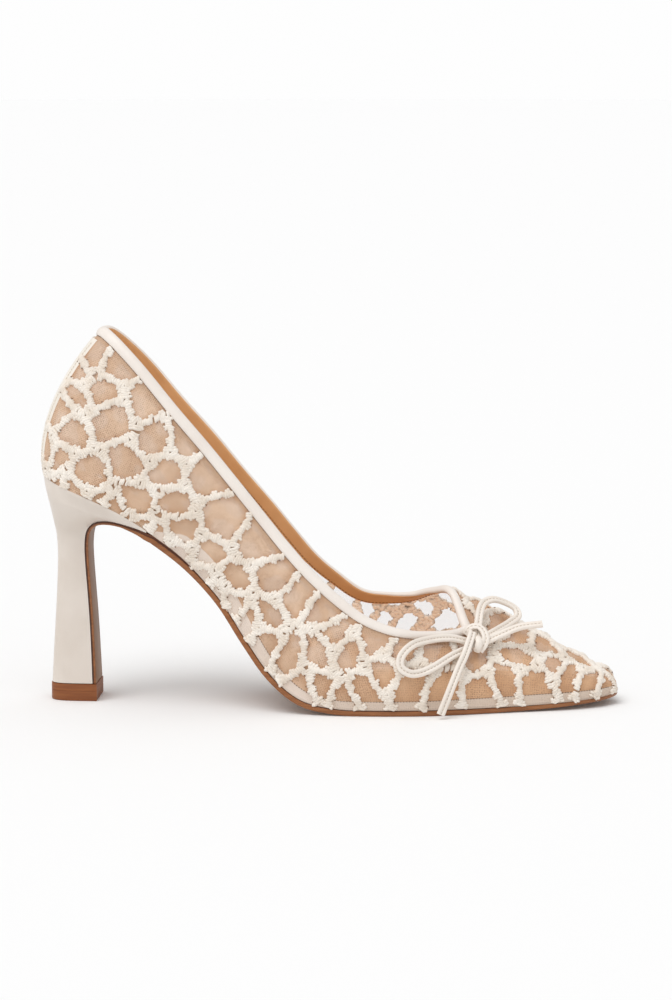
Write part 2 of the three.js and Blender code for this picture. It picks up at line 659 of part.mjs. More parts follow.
function outsoleGeometry() {
  const rings = placesFrom(lastSoleStation, toeStation).reverse().map((place) => {
    const outerPoint = (inset, height) => onBed(place, inset, height);
    const innerPoint = (inset, height) => onBed(loopCount - place, inset, height);
    return soleRing(outerPoint, innerPoint, soleThickness);
  });
  const path = [wingFront, ...heelSections.map(frontOf)];
  const halves = [Math.abs(edgePoint(seatStation).y), ...heelSections.map(heelHalf)];
  const before = edgePoint(lastSoleStation).setY(0);
  path.forEach((point, i) => {
    const ahead = path[Math.min(i + 1, path.length - 1)];
    const behind = i > 0 ? path[i - 1] : before;
    const run = ahead.clone().sub(behind).normalize();
    const down = vec(-run.z, 0, run.x);
    const share = Math.max(0, 1 - (i + 1) / thinningSections);
    const thickness = flapThickness + (soleThickness - flapThickness) * share;
    const thin = thickness / soleThickness;
    const sidePoint = (side) => (inset, height) => {
      const at = point.clone().addScaledVector(down, clearance - height);
      return at.setY(side * (halves[i] - inset * thin));
    };
    rings.push(soleRing(sidePoint(-1), sidePoint(1), thickness));
  });
  return loft(rings);
}

function insoleGeometry() {
  const inset = featherInset + wall + insoleEdgeGap;
  const uprightShare = 0.7;
  const bevelShare = 0.3;
  const profile = [
    { inset, height: clearance },
    { inset, height: clearance + uprightShare * insoleThickness },
    { inset: inset + bevelShare * insoleThickness, height: clearance + insoleThickness },
  ];
  const rings = placesFrom(0, toeStation).map((place) => {
    const inner = (loopCount - place) % loopCount;
    const outerSide = profile.map((row) => onBed(place, row.inset, row.height));
    const innerSide = profile.map((row) => onBed(inner, row.inset, row.height));
    return [...outerSide, ...innerSide.reverse()];
  });
  return loft(rings);
}

function topPieceGeometry() {
  const last = heelSections[heelSections.length - 1];
  const front = frontOf(last).add(vec(clearance + flapThickness + topPieceLip, 0, -clearance));
  const back = backOf(last).add(vec(-topPieceLip, 0, -clearance));
  const top = heelRing(front, back, heelHalf(last) + topPieceLip);
  const bottom = top.map((point) => point.clone().setZ(0));
  return loft([bottom, top]);
}

// The knot sits on the binding at the throat, square to the upper's face there. `knotSeat` is its
// place from the throat point, in shares of its own length and width.
const knotSeat = { along: 0.38, inward: -0.6, up: -0.4 };

function bowGeometry(skin) {
  const normals = skin.normals();
  const throat = sectionEnd(throatStation);
  const reach = vec(knotLength * knotSeat.along, knotWidth * knotSeat.inward, knotWidth * knotSeat.up);
  const seat = nearestOn(skin, normals, throat.clone().add(reach));
  const lift = 2 * clearance + bindingThickness + knotThickness / 2;
  const middle = seat.point.clone().addScaledVector(seat.normal, lift);
  const along = vec(1, 0, 0).addScaledVector(seat.normal, -seat.normal.x).normalize();
  const across = seat.normal.clone().cross(along);
  const knot = new THREE.SphereGeometry(0.5, knotColumns, knotRows);
  const frame = new THREE.Matrix4().makeBasis(along, across, seat.normal).setPosition(middle);
  knot.scale(knotLength, knotWidth, knotThickness).applyMatrix4(frame);
  knot.deleteAttribute('normal');
  knot.deleteAttribute('uv');
  let solid = toManifold(knot);
  for (const rows of [nearLoop, farLoop, sideTail, lowTail]) {
    solid = solid.add(toManifold(strapGeometry(rows, middle, skin, normals)));
  }
  return fromManifold(solid);
}

// A strap through its points, each kept clear of the upper's face and of the binding on it. Its
// section is a rounded oblong.
const strapSquareness = 0.6;

function strapGeometry(rows, middle, skin, normals) {
  const lowest = strapThickness / 2 + bindingThickness + 2 * clearance;
  const spots = rows.map((row) => {
    const spot = vec(row.along, row.inward, row.up).multiplyScalar(bowSize).add(middle);
    const seat = nearestOn(skin, normals, spot);
    const height = spot.clone().sub(seat.point).dot(seat.normal);
    return spot.addScaledVector(seat.normal, Math.max(0, lowest - height));
  });
  const path = new THREE.CatmullRomCurve3(spots, false, 'centripetal');
  const steps = (rows.length - 1) * strapSteps;
  const points = path.getSpacedPoints(steps);
  const rings = points.map((point, i) => {
    const run = path.getTangentAt(i / steps);
    const broad = nearestOn(skin, normals, point).normal.cross(run).normalize();
    const thin = run.clone().cross(broad);
    return Array.from({ length: strapSides }, (_, k) => {
      const angle = (2 * Math.PI * (k + 0.5)) / strapSides;
      const wide = Math.sign(Math.cos(angle)) * Math.abs(Math.cos(angle)) ** strapSquareness;
      const deep = Math.sign(Math.sin(angle)) * Math.abs(Math.sin(angle)) ** strapSquareness;
      return point.clone()
        .addScaledVector(broad, (wide * strapWidth) / 2)
        .addScaledVector(thin, (deep * strapThickness) / 2);
    });
  });
  return loft(rings);
}

const group = new THREE.Group();

function addPiece(name, geometry, color, roughness) {
  const mesh = new THREE.Mesh(geometry, new THREE.MeshStandardMaterial({ color, roughness, metalness: 0 }));
  mesh.name = name;
  group.add(mesh);
}

const skin = upperSkin();
addPiece('upper', skin.wallBetween(0, -wall), 0xe6c8a8, 0.8);
addPiece('collar_binding', bindingGeometry(skin), 0xf0e8dc, 0.45);
addPiece('back_strip', backStripGeometry(), 0xf0e8dc, 0.45);
addPiece('outsole', outsoleGeometry(), 0xb58253, 0.5);
addPiece('insole', insoleGeometry(), 0xc39a66, 0.6);
addPiece('heel', heelGeometry(), 0xefe7da, 0.4);
addPiece('top_piece', topPieceGeometry(), 0x7d4826, 0.6);
addPiece('bow', bowGeometry(skin), 0xf0e8dc, 0.45);

// The origin is under the middle of the whole shoe, on the floor.
const box = new THREE.Box3().setFromObject(group);
group.position.set(-(box.min.x + box.max.x) / 2, -(box.min.y + box.max.y) / 2, -box.min.z);

export default group;
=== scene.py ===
"""Embroidered court shoe for the right foot, dressed piece by piece round its solids.

Metres. +X is the toe, +Y the inner side of the foot, +Z up from the floor. Lengths in the tables and
sections are millimetres in the last's own frame, whose zero is the back of the heel, and `in_place`
moves them into the shoe's frame.
"""

import math

import bmesh
import bpy
import numpy as np
from mathutils import Matrix, Vector
from mathutils.bvhtree import BVHTree


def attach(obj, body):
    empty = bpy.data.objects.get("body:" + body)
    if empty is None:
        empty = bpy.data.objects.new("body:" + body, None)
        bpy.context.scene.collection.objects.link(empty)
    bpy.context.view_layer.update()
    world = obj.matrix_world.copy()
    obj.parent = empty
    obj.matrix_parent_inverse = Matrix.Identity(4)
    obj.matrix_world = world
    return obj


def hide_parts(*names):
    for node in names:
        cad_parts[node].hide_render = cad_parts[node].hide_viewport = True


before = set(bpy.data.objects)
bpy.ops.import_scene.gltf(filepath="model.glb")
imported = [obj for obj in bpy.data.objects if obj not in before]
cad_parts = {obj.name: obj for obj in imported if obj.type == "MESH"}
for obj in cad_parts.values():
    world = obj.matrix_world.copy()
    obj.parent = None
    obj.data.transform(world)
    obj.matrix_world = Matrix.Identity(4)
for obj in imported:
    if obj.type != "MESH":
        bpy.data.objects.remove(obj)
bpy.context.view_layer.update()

# The photographer's stand: a camera a pace and a half off the outer side, a white floor that runs
# out of sight, a white room that is brightest near the floor, and one broad soft lamp.
MM = 0.001
last_origin = np.array([-118.988, 0.103, 0.028])
view_turn, view_rise = math.radians(4.0), math.radians(8.0)
view_distance = 1450.0
view_target = np.array([121.7, 0.0, 83.0])
picture_width, picture_height = 672, 1000
picture_focus = 3552.5
film_size, sight_limit = 36.0, 50.0
lamp_power, lamp_spread = 1.4, math.radians(42)
lamp_way = (0.25, 0.38, -0.89)
floor_radius, floor_turns = 9.0, 96
floor_white, floor_glow = 0.92, 0.02
view_level = np.array([math.sin(view_turn), -math.cos(view_turn), 0.0])
view_back = view_level * math.cos(view_rise) + np.array([0.0, 0.0, math.sin(view_rise)])
view_right = np.array([math.cos(view_turn), math.sin(view_turn), 0.0])
view_up = np.cross(view_back, view_right)
view_point = view_target + view_back * view_distance


def in_place(points):
    """Millimetres on the last to metres in the shoe's frame."""
    return (np.asarray(points, float) + last_origin) * MM


def set_out(name, data):
    """A new object, set out in the scene."""
    made = bpy.data.objects.new(name, data)
    bpy.context.scene.collection.objects.link(made)
    return made


camera_data = bpy.data.cameras.new("camera")
camera_data.lens = picture_focus / picture_height * film_size
camera_data.sensor_width = film_size
camera_data.clip_end = sight_limit
camera = set_out("camera", camera_data)
turn = Matrix([[view_right[i], view_up[i], view_back[i]] for i in range(3)])
camera.matrix_world = Matrix.Translation(in_place(view_point)) @ turn.to_4x4()
bpy.context.scene.camera = camera
bpy.context.scene.view_settings.view_transform = "Standard"

world = bpy.data.worlds.new("white_room")
world.use_nodes = True
room = world.node_tree
room_way = room.nodes.new("ShaderNodeTexCoord").outputs["Generated"]
room_parts = room.nodes.new("ShaderNodeSeparateXYZ")
room_light = room.nodes.new("ShaderNodeMapRange")
room_light.interpolation_type = "SMOOTHSTEP"
room.links.new(room_way, room_parts.inputs[0])
room.links.new(room_parts.outputs["Z"], room_light.inputs["Value"])
for socket, value in (("From Min", 0.01), ("From Max", 0.09), ("To Min", 0.99), ("To Max", 0.66)):
    room_light.inputs[socket].default_value = value
room.links.new(room_light.outputs[0], room.nodes["Background"].inputs["Strength"])
room.nodes["Background"].inputs["Color"].default_value = (1.0, 1.0, 1.0, 1.0)
bpy.context.scene.world = world

key_light = bpy.data.lights.new("key_lamp", "SUN")
key_light.energy, key_light.angle = lamp_power, lamp_spread
key_lamp = set_out("key_lamp", key_light)
key_lamp.rotation_euler = Vector(lamp_way).to_track_quat("-Z", "Y").to_euler()

floor_paint = bpy.data.materials.new("white_floor")
floor_paint.use_nodes = True
for socket, value in (
    ("Base Color", (floor_white, floor_white, floor_white, 1.0)),
    ("Roughness", 0.9),
    ("Specular IOR Level", 0.1),
    ("Emission Color", (1.0, 1.0, 1.0, 1.0)),
    ("Emission Strength", floor_glow),
):
    floor_paint.node_tree.nodes["Principled BSDF"].inputs[socket].default_value = value
floor_mesh = bpy.data.meshes.new("floor")
floor_angles = [2 * math.pi * i / floor_turns for i in range(floor_turns)]
floor_rim = [(floor_radius * math.cos(a), floor_radius * math.sin(a), 0.0) for a in floor_angles]
floor_mesh.from_pydata(floor_rim, [], [list(range(floor_turns))])
floor_mesh.materials.append(floor_paint)
floor = set_out("floor", floor_mesh)

# The last. Every soft piece of the shoe is laid on its form: sections that stand on the sole's edge
# and end at the topline, or over the forefoot on the crown line. Shares of the named sizes.
shoe_length = 237.0
ball_width = 72.0
seat_width = 49.0
heel_height = 92.4
quarter_height = 60.2
vamp_height = 31.0
toe_spring = 2.0
sole_thickness = 3.3
feather_inset = 0.6
upper_lift = 0.3
toe_station = 23
seat_stations = 6
quarter_stations = 11
throat_station = 16
loop_count = 2 * toe_station
edge_step, bed_step = 0.02, 0.05
outer_low, inner_low, forefoot_swell = 0.4, 0.6, 0.03
# along the shoe, lift of the heel, toe spring, outer edge, inner edge (shares of seat or ball width)
stations = [
    (0.008, 1.0, 0, 0.0, 0.0),
    (0.018, 0.996, 0, -0.196, 0.196),
    (0.046, 0.972, 0, -0.373, 0.373),
    (0.093, 0.928, 0, -0.482, 0.478),
    (0.152, 0.856, 0, -0.5, 0.49),
    (0.211, 0.755, 0, -0.478, 0.453),
    (0.27, 0.63, 0, -0.308, 0.275),
    (0.325, 0.474, 0, -0.328, 0.267),
    (0.371, 0.294, 0, -0.375, 0.292),
    (0.414, 0.142, 0, -0.417, 0.336),
    (0.464, 0.04, 0, -0.453, 0.392),
    (0.523, 0.005, 0, -0.471, 0.45),
    (0.582, 0, 0, -0.472, 0.494),
    (0.633, 0, 0, -0.462, 0.519),
    (0.675, 0, 0, -0.444, 0.528),
    (0.709, 0, 0, -0.418, 0.525),
    (0.743, 0, 0, -0.386, 0.514),
    (0.789, 0, 0, -0.338, 0.486),
    (0.835, 0, 0.08, -0.292, 0.442),
    (0.882, 0, 0.27, -0.249, 0.389),
    (0.924, 0, 0.5, -0.2, 0.328),
    (0.962, 0, 0.75, -0.133, 0.253),
    (0.989, 0, 0.94, -0.05, 0.156),
    (1.0, 0, 1, 0.05, 0.05),
]
# forward, rise, across, low, swell, brow, drop (heights are the quarter's, then the vamp's)
outer_tops = [
    (0.412, 1.0, 0.0, 0.3, 0.235, 0.2, 0.3),
    (0.416, 1.0, -0.127, 0.3, 0.2, 0.2, 0.3),
    (0.402, 0.962, -0.229, 0.3, 0.12, 0.16, 0.3),
    (0.385, 0.859, -0.322, 0.3, 0.046, 0.114, 0.3),
    (0.369, 0.711, -0.38, 0.3, 0.04, 0.082, 0.3),
    (0.352, 0.614, -0.408, 0.3, 0.05, 0.067, 0.3),
    (0.329, 0.546, -0.296, 0.3, 0.05, 0.035, 0.3),
    (0.309, 0.538, -0.321, 0.3, 0.05, 0.035, 0.3),
    (0.282, 0.618, -0.339, 0.3, 0.042, 0.048, 0.3),
    (0.266, 0.678, -0.358, 0.3, 0.04, 0.06, 0.3),
    (0.223, 0.687, -0.372, 0.3, 0.038, 0.072, 0.3),
    (0.323, 1.171, -0.378, 0.3, 0.04, 0.08, 0.3),
    (0.21, 1.029, -0.369, 0.31, 0.042, 0.088, 0.3),
    (0.11, 0.958, -0.344, 0.33, 0.045, 0.1, 0.3),
    (0.026, 0.932, -0.297, 0.36, 0.045, 0.12, 0.32),
    (0.0, 0.913, -0.225, 0.38, 0.04, 0.135, 0.36),
]
inner_tops = [
    (0.412, 1.0, 0.0, 0.3, 0.235, 0.2, 0.3),
    (0.416, 1.0, 0.127, 0.3, 0.2, 0.2, 0.3),
    (0.402, 0.955, 0.229, 0.3, 0.12, 0.16, 0.3),
    (0.379, 0.848, 0.322, 0.3, 0.046, 0.114, 0.3),
    (0.353, 0.701, 0.38, 0.3, 0.04, 0.08, 0.3),
    (0.329, 0.613, 0.408, 0.3, 0.05, 0.065, 0.3),
    (0.299, 0.546, 0.296, 0.3, 0.045, 0.03, 0.3),
    (0.266, 0.557, 0.318, 0.3, 0.04, 0.025, 0.3),
    (0.238, 0.63, 0.338, 0.3, 0.04, 0.028, 0.3),
    (0.223, 0.671, 0.356, 0.3, 0.04, 0.044, 0.3),
    (0.179, 0.691, 0.369, 0.3, 0.04, 0.066, 0.3),
    (0.226, 1.216, 0.372, 0.3, 0.04, 0.098, 0.3),
    (0.135, 1.19, 0.35, 0.33, 0.04, 0.13, 0.24),
    (0.065, 1.216, 0.292, 0.36, 0.04, 0.18, 0.14),
    (0.032, 1.3, 0.203, 0.39, 0.038, 0.235, 0.02),
    (0.026, 1.319, 0.058, 0.41, 0.034, 0.3, -0.14),
]
# forward, rise, across, slope, pitch, outer reach, inner reach
crown_rows = [
    (-0.013, 0.887, -0.125, 1.0, 0, 0.14, 0.38),
    (-0.081, 0.884, -0.063, 0.8, -0.1, 0.17, 0.34),
    (-0.129, 0.819, 0.0, 0.5, -0.25, 0.2, 0.3),
    (-0.177, 0.719, 0.042, 0.28, -0.38, 0.2, 0.25),
    (-0.242, 0.597, 0.067, 0.12, -0.46, 0.19, 0.2),
    (-0.339, 0.487, 0.076, 0.06, -0.5, 0.16, 0.17),
    (-0.477, 0.445, 0.076, 0.05, -0.5, 0.15, 0.15),
    (-0.565, 0.439, 0.076, 0.05, -0.5, 0.15, 0.15),
]


def between(values, place, looped):
    """A smooth value between the rows of a table, round a loop or along a side that has ends."""
    values = np.asarray(values, float)
    place = np.asarray(place, float)
    row = np.floor(place).astype(int)
    share = place - row
    if values.ndim > 1:
        share = share[..., None]
    last = len(values) - 1

    def pick(step):
        return values[(row + step) % len(values)] if looped else values[np.clip(row + step, 0, last)]

    before, start, end, after = pick(-1), pick(0), pick(1), pick(2)
    out, into = end - before, after - start
    bend = 2 * start - 2 * end + 0.5 * (out + into)
    return bend * share**3 + (3 * end - 3 * start - out - 0.5 * into) * share**2 + 0.5 * out * share + start


def unit(vectors):
    vectors = np.asarray(vectors, float)
    return vectors / np.maximum(np.linalg.norm(vectors, axis=-1, keepdims=True), 1e-12)


def bed_level(row):
    return sole_thickness + row[1] * (heel_height - sole_thickness) + row[2] * toe_spring


def width_at(index):
    return seat_width if index < seat_stations else ball_width


def both_sides(outer, inner):
    """One closed list: the outer side from heel to toe, then the inner side back."""
    return np.array(list(outer) + list(inner)[1:toe_station][::-1], float)


def edge_side(column):
    """The sole's edge on one side, from the table's column for it."""
    spans = [row[column] * width_at(index) for index, row in enumerate(stations)]
    return [(row[0] * shoe_length, span, bed_level(row)) for row, span in zip(stations, spans)]


edge_line = both_sides(edge_side(3), edge_side(4))


def edge_point(place):
    return between(edge_line, place, True)


def edge_out(place):
    run = edge_point(np.asarray(place) + edge_step) - edge_point(np.asarray(place) - edge_step)
    return unit(np.stack([run[..., 1], -run[..., 0], 0 * run[..., 0]], -1))


def station_of(place):
    return np.where(place > toe_station, loop_count - place, place)


def bed_normal(place):
    place = np.asarray(place, float)
    station = station_of(place)
    low, high = np.maximum(station - bed_step, 0), np.minimum(station + bed_step, toe_station)
    run = edge_point(high) - edge_point(low)
    return unit(np.stack([-run[..., 2], 0 * run[..., 0], run[..., 0]], -1))


def on_bed(place, inset, height):
    """A point in from the sole's edge and up from the bed, square to both."""
    return edge_point(place) - edge_out(place) * inset + bed_normal(place) * height


def across_from(place):
    """The same station's place on the other side."""
    return (loop_count - place) % loop_count


def section(index, outer_side):
    """The four control points of a station's section, from the sole's edge to its top."""
    row = stations[index]
    width = width_at(index)
    place = index if outer_side else across_from(index)
    foot = on_bed(place, feather_inset, upper_lift)
    out = edge_out(place)
    base = np.array([row[0] * shoe_length, 0.0, bed_level(row)])
    if index < throat_station:
        top_row = (outer_tops if outer_side else inner_tops)[index]
        forward, rise, across, low_at, swell, brow, drop = top_row
        tall = quarter_height if index < quarter_stations else vamp_height
        end = base + np.array([forward * tall, across * width, rise * tall])
        flat = (end - foot) * np.array([1, 0, 1])
        return foot, foot + flat * low_at + out * swell * width, -flat * drop + out * brow * width, end
    forward, rise, across, slope, pitch, outer_reach, inner_reach = crown_rows[index - throat_station]
    end = base + np.array([forward * vamp_height, across * width, rise * vamp_height])
    level = unit((foot - end) * np.array([1, 1, 0]))
    reach = (outer_reach if outer_side else inner_reach) * ball_width
    high = level * reach
    high[2] = reach * (slope * level[1] + pitch * level[0])
    low_at = outer_low if outer_side else inner_low
    low = foot + np.array([0, 0, (end - foot)[2] * low_at]) + out * forefoot_swell * width
    return foot, low, high, end


outer_sections = np.array([section(i, True) for i in range(len(stations))])
inner_sections = np.array([section(i, False) for i in range(len(stations))])
section_loops = [both_sides(outer_sections[:, k], inner_sections[:, k]) for k in range(4)]
crown_line = outer_sections[throat_station:, 3]


def section_end(place):
    """Where a section ends: on the topline behind the throat, on the crown line before it."""
    place = np.atleast_1d(np.asarray(place, float)) % loop_count
    station = station_of(place)
    ends = between(section_loops[3], place, True)
    over = station >= throat_station
    ends[over] = between(crown_line, station[over] - throat_station, False)
    return ends


def upper_point(place, share):
    """The upper's outer face: round the loop of stations, and from the foot up to the end."""
    place = np.atleast_1d(np.asarray(place, float)) % loop_count
    share = np.asarray(share, float)[..., None]
    foot, low, high = (between(loop, place, True) for loop in section_loops[:3])
    end = section_end(place)
    rest = 1 - share
    return foot * rest**3 + low * 3 * rest**2 * share + (high + end) * 3 * rest * share**2 + end * share**3


# The mesh upper: one sheer nude net stretched over the last, with a pale lasting margin showing
# through it along the sole. It is a thin cloth wall, open at the collar and underneath.
net_steps, net_rows = 8, 40
skirt_inset, skirt_start = 0.32, 5.5
skirt_least, skirt_more = 0.05, 0.85
cloth_thickness = 0.3
lined_depth, lined_fade = 6.8, 0.8
warm_from, warm_run, warm_most = 105, 60, 0.75
net_places = np.arange(0, loop_count, 1 / net_steps)
net_shares = np.linspace(0, 1, net_rows + 1)
net_grid = np.stack([upper_point(net_places, np.full(len(net_places), share)) for share in net_shares], 1)
skirt_share = np.clip(np.minimum(net_places, loop_count - net_places) - skirt_start, 0, 1)
skirt_drop = skirt_least + skirt_more * skirt_share
net_skirt = on_bed(net_places, skirt_inset, 0.0) - bed_normal(net_places) * skirt_drop[:, None]
net_grid = np.concatenate([net_skirt[:, None], net_grid], 1)
net_rows += 1
net_points = net_grid.reshape(-1, 3)
net_ids = np.arange(len(net_points)).reshape(len(net_places), net_rows + 1)
# over the forefoot the inner side's columns end on the outer side's points of the crown line
for column in range(toe_station * net_steps + 1, (loop_count - throat_station) * net_steps + 1):
    net_ids[column, net_rows] = net_ids[loop_count * net_steps - column, net_rows]
net_faces = []
for column in range(len(net_places)):
    here, there = net_ids[column], net_ids[(column + 1) % len(net_places)]
    for r in range(net_rows):
        corners = [int(here[r]), int(there[r]), int(there[r + 1]), int(here[r + 1])]
        net_faces.append(list(dict.fromkeys(corners)))
net_triangles = np.array([[f[0], f[k], f[k + 1]] for f in net_faces for k in range(1, len(f) - 1)])
corner_a, corner_b, corner_c = (net_points[net_triangles[:, k]] for k in range(3))
face_normals = np.cross(corner_b - corner_a, corner_c - corner_a)
net_normals = np.zeros_like(net_points)
for k in range(3):
    np.add.at(net_normals, net_triangles[:, k], face_normals)
net_normals = unit(net_normals)
net_tree = BVHTree.FromPolygons(net_points.tolist(), net_triangles.tolist())


def on_net(targets, proud=0.0):
    """The nearest points of the net to the targets, stood proud by so much, and the normals there."""
    spots, normals = [], []
    for target in np.atleast_2d(targets):
        place, _, index, _ = net_tree.find_nearest(Vector(target))
        corners = net_points[net_triangles[index]]
        spot = np.array(place)
        edges = [corners[(k + 1) % 3] - spot for k in range(3)]
        areas = [np.linalg.norm(np.cross(edges[k], edges[(k + 1) % 3])) for k in range(3)]
        normals.append(unit(np.array(areas) @ net_normals[net_triangles[index]]))
        spots.append(spot)
    spots, normals = np.array(spots), np.array(normals)
    return spots + normals * np.reshape(proud, (-1, 1) if np.ndim(proud) else ()), normals


def eased(directions, rounds):
    """Directions along a line, each drawn towards its neighbours a number of times."""
    for _ in range(rounds):
        directions[1:-1] = unit(directions[:-2] + 2 * directions[1:-1] + directions[2:])
    return directions


def new_piece(name, points, faces, materials, face_slots=None):
    """A smooth piece from millimetre points on the last, linked to the scene."""
    mesh = bpy.data.meshes.new(name)
    mesh.from_pydata(in_place(points).tolist(), [], [list(map(int, face)) for face in faces])
    for material in materials:
        mesh.materials.append(material)
    mesh.polygons.foreach_set("use_smooth", [True] * len(mesh.polygons))
    if face_slots is not None:
        mesh.polygons.foreach_set("material_index", list(map(int, face_slots)))
    return set_out(name, mesh)


def pigment(color):
    """A colour read, 0 to 255, as the shader wants it."""
    parts = [value / 255 for value in color]
    linear = [part / 12.92 if part <= 0.04045 else ((part + 0.055) / 1.055) ** 2.4 for part in parts]
    return (*linear, 1.0)


class Finish:
    """A material with its nodes laid out by short calls. Its colours are given as read."""

    def __init__(self, name):
        self.material = bpy.data.materials.new(name)
        self.material.use_nodes = True
        self.tree = self.material.node_tree
        self.shader = self.tree.nodes["Principled BSDF"]
        self.object_place = self.tree.nodes.new("ShaderNodeTexCoord").outputs["Object"]

    def node(self, kind, out=0, settings=None, **inputs):
        made = self.tree.nodes.new(kind)
        for key, value in (settings or {}).items():
            setattr(made, key, value)
        for key, value in inputs.items():
            number = key[2:]
            self.feed(made.inputs[int(number) if number.isdigit() else key], value)
        return made.outputs[out]

    def feed(self, socket, value):
        if isinstance(value, bpy.types.NodeSocket):
            self.tree.links.new(value, socket)
        else:
            socket.default_value = pigment(value) if socket.type == "RGBA" else value

    def set(self, **inputs):
        for key, value in inputs.items():
            self.feed(self.shader.inputs[key.replace("_", " ")], value)

    def attribute(self, name):
        return self.node("ShaderNodeAttribute", 2, {"attribute_name": name})

    def noise(self, scale, detail=3.0, place=None):
        return self.node("ShaderNodeTexNoise", Vector=place or self.object_place, Scale=scale, Detail=detail)

    def dots(self, place, scale, uneven=1.0):
        return self.node("ShaderNodeTexVoronoi", Vector=place, Scale=scale, Randomness=uneven)

    def ramp(self, value, low, high):
        settings = {"interpolation_type": "SMOOTHSTEP"}
        return self.node("ShaderNodeMapRange", 0, settings, in0=value, in1=low, in2=high)

    def blend(self, share, first, second):
        return self.node("ShaderNodeMix", 2, {"data_type": "RGBA"}, in0=share, in6=first, in7=second)

    def math(self, operation, first, second):
        return self.node("ShaderNodeMath", 0, {"operation": operation}, in0=first, in1=second)

    def clouded(self, scale, light, shade, low=0.3, high=0.7):
        return self.blend(self.ramp(self.noise(scale), low, high), light, shade)

    def bump(self, height, strength, distance=0.0001):
        normal = self.node("ShaderNodeBump", Height=height, Strength=strength, Distance=distance)
        self.feed(self.shader.inputs["Normal"], normal)


def net_finish(name, outside):
    """Fine nude tulle: sheer, faintly mottled, with the pale margin behind it near the sole."""
    finish = Finish(name)
    margin, warmth = finish.attribute("margin"), finish.attribute("warmth")
    lined = finish.math("MULTIPLY", finish.attribute("lined"), 0.85)
    cord_shade = finish.math("MULTIPLY", finish.attribute("cord_shade"), 0.6)
    weave_place = finish.node("ShaderNodeUVMap", 0, {"uv_map": "weave"})
    holes = finish.dots(weave_place, 185.0, 0.35)
    weave_dots = finish.dots(weave_place, 140.0, 0.3)
    moire = finish.math("MULTIPLY", finish.ramp(finish.noise(110.0, 4.0), 0.36, 0.62), 0.7)
    moire = finish.math("ADD", moire, 0.28)
    threads = finish.math("MULTIPLY", finish.ramp(weave_dots, 0.5, 0.12), moire)
    mottle = finish.ramp(finish.noise(70.0), 0.3, 0.75)
    nude = finish.blend(mottle, (230, 200, 173), (204, 170, 141))
    # the warm tone is partly the tan inside, partly painted shade
    warm = finish.blend(mottle, (217, 172, 130), (196, 146, 102))
    cloth = finish.blend(warmth, nude, warm)
    hole_share = finish.math("MULTIPLY", finish.ramp(holes, 0.15, 0.55), 0.25)
    for share, color in (
        (lined, (198, 170, 146)),
        # painted shade beside the cords
        (cord_shade, (188, 142, 106)),
        (threads, (138, 100, 74)),
        (hole_share, (196, 156, 124)),
    ):
        cloth = finish.blend(share, cloth, color)
    band = finish.blend(warmth, finish.blend(mottle, (232, 216, 203), (222, 205, 190)), (212, 192, 174))
    band = finish.blend(finish.math("MULTIPLY", threads, 0.4), band, (150, 128, 108))
    in_band = finish.ramp(margin, 0.15, -0.15)
    finish.set(Base_Color=finish.blend(in_band, cloth, band), Roughness=0.75)
    cover = 0.06
    if outside:
        behind = finish.node("ShaderNodeNewGeometry", 6)
        cover = finish.node("ShaderNodeMapRange", in0=behind, in3=0.88, in4=0.12)
        finish.bump(holes, 0.12)
    finish.set(Alpha=finish.math("MAXIMUM", cover, in_band))
    return finish.material


def lengths_along(line):
    """How far along a line each of its points lies."""
    return np.concatenate([[0], np.cumsum(np.linalg.norm(np.diff(line, axis=0), axis=1))])


def mark(mesh, name, values):
    """Stores a number, or three of them, on each point of a mesh."""
    kind, key = ("FLOAT", "value") if np.ndim(values) == 1 else ("FLOAT_VECTOR", "vector")
    attribute = mesh.attributes.new(name, kind, "POINT")
    attribute.data.foreach_set(key, np.asarray(values, np.float32).reshape(-1))


net_up = np.array([lengths_along(column) for column in net_grid])
waist_line = net_grid[:, net_rows // 3]
net_round = lengths_along(np.concatenate([waist_line[-1:], waist_line]))[1:]
margin_places = [0, 46, 52, 58, 68, 78, 92, 108, 120, 160, 205, 237]
margin_tops = [0, 0, 4, 8.5, 9.5, 8, 6, 4.4, 3.7, 3.9, 4.4, 3.5]
margin_height = np.interp(net_grid[:, 0, 0], margin_places, margin_tops)
# over the vamp the net is warmer and darker: partly the tan inside showing through the sheer cloth, partly
# painted shade from the shaded inside of the shoe
net_warmth = np.clip((net_grid[:, :, 0] - warm_from) / warm_run, 0, 1) * warm_most
net_collar = section_end(np.linspace(-throat_station, throat_station, 129))
net_lined = np.linalg.norm(net_grid[:, :, None, :] - net_collar, axis=3).min(2)
net_materials = [net_finish("nude_net", True), net_finish("nude_net_back", False)]
net = new_piece("mesh_upper", net_points, net_faces, net_materials)
mark(net.data, "margin", (net_up - margin_height[:, None]).reshape(-1))
mark(net.data, "warmth", net_warmth.reshape(-1))
mark(net.data, "lined", np.clip((lined_depth - net_lined) / lined_fade, 0, 1).reshape(-1))
weave = net.data.uv_layers.new(name="weave")
weave_points = np.stack([np.repeat(net_round[:, None], net_rows + 1, 1), net_up], -1).reshape(-1, 2) / 100
corner_ids = np.empty(len(net.data.loops), int)
net.data.loops.foreach_get("vertex_index", corner_ids)
weave.data.foreach_set("uv", weave_points[corner_ids].reshape(-1).astype(np.float32))
wall = net.modifiers.new("cloth_wall", "SOLIDIFY")
wall.thickness = cloth_thickness * MM
wall.offset = -1.0
wall.material_offset = wall.material_offset_rim = 1
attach(net, "root")
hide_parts("upper")
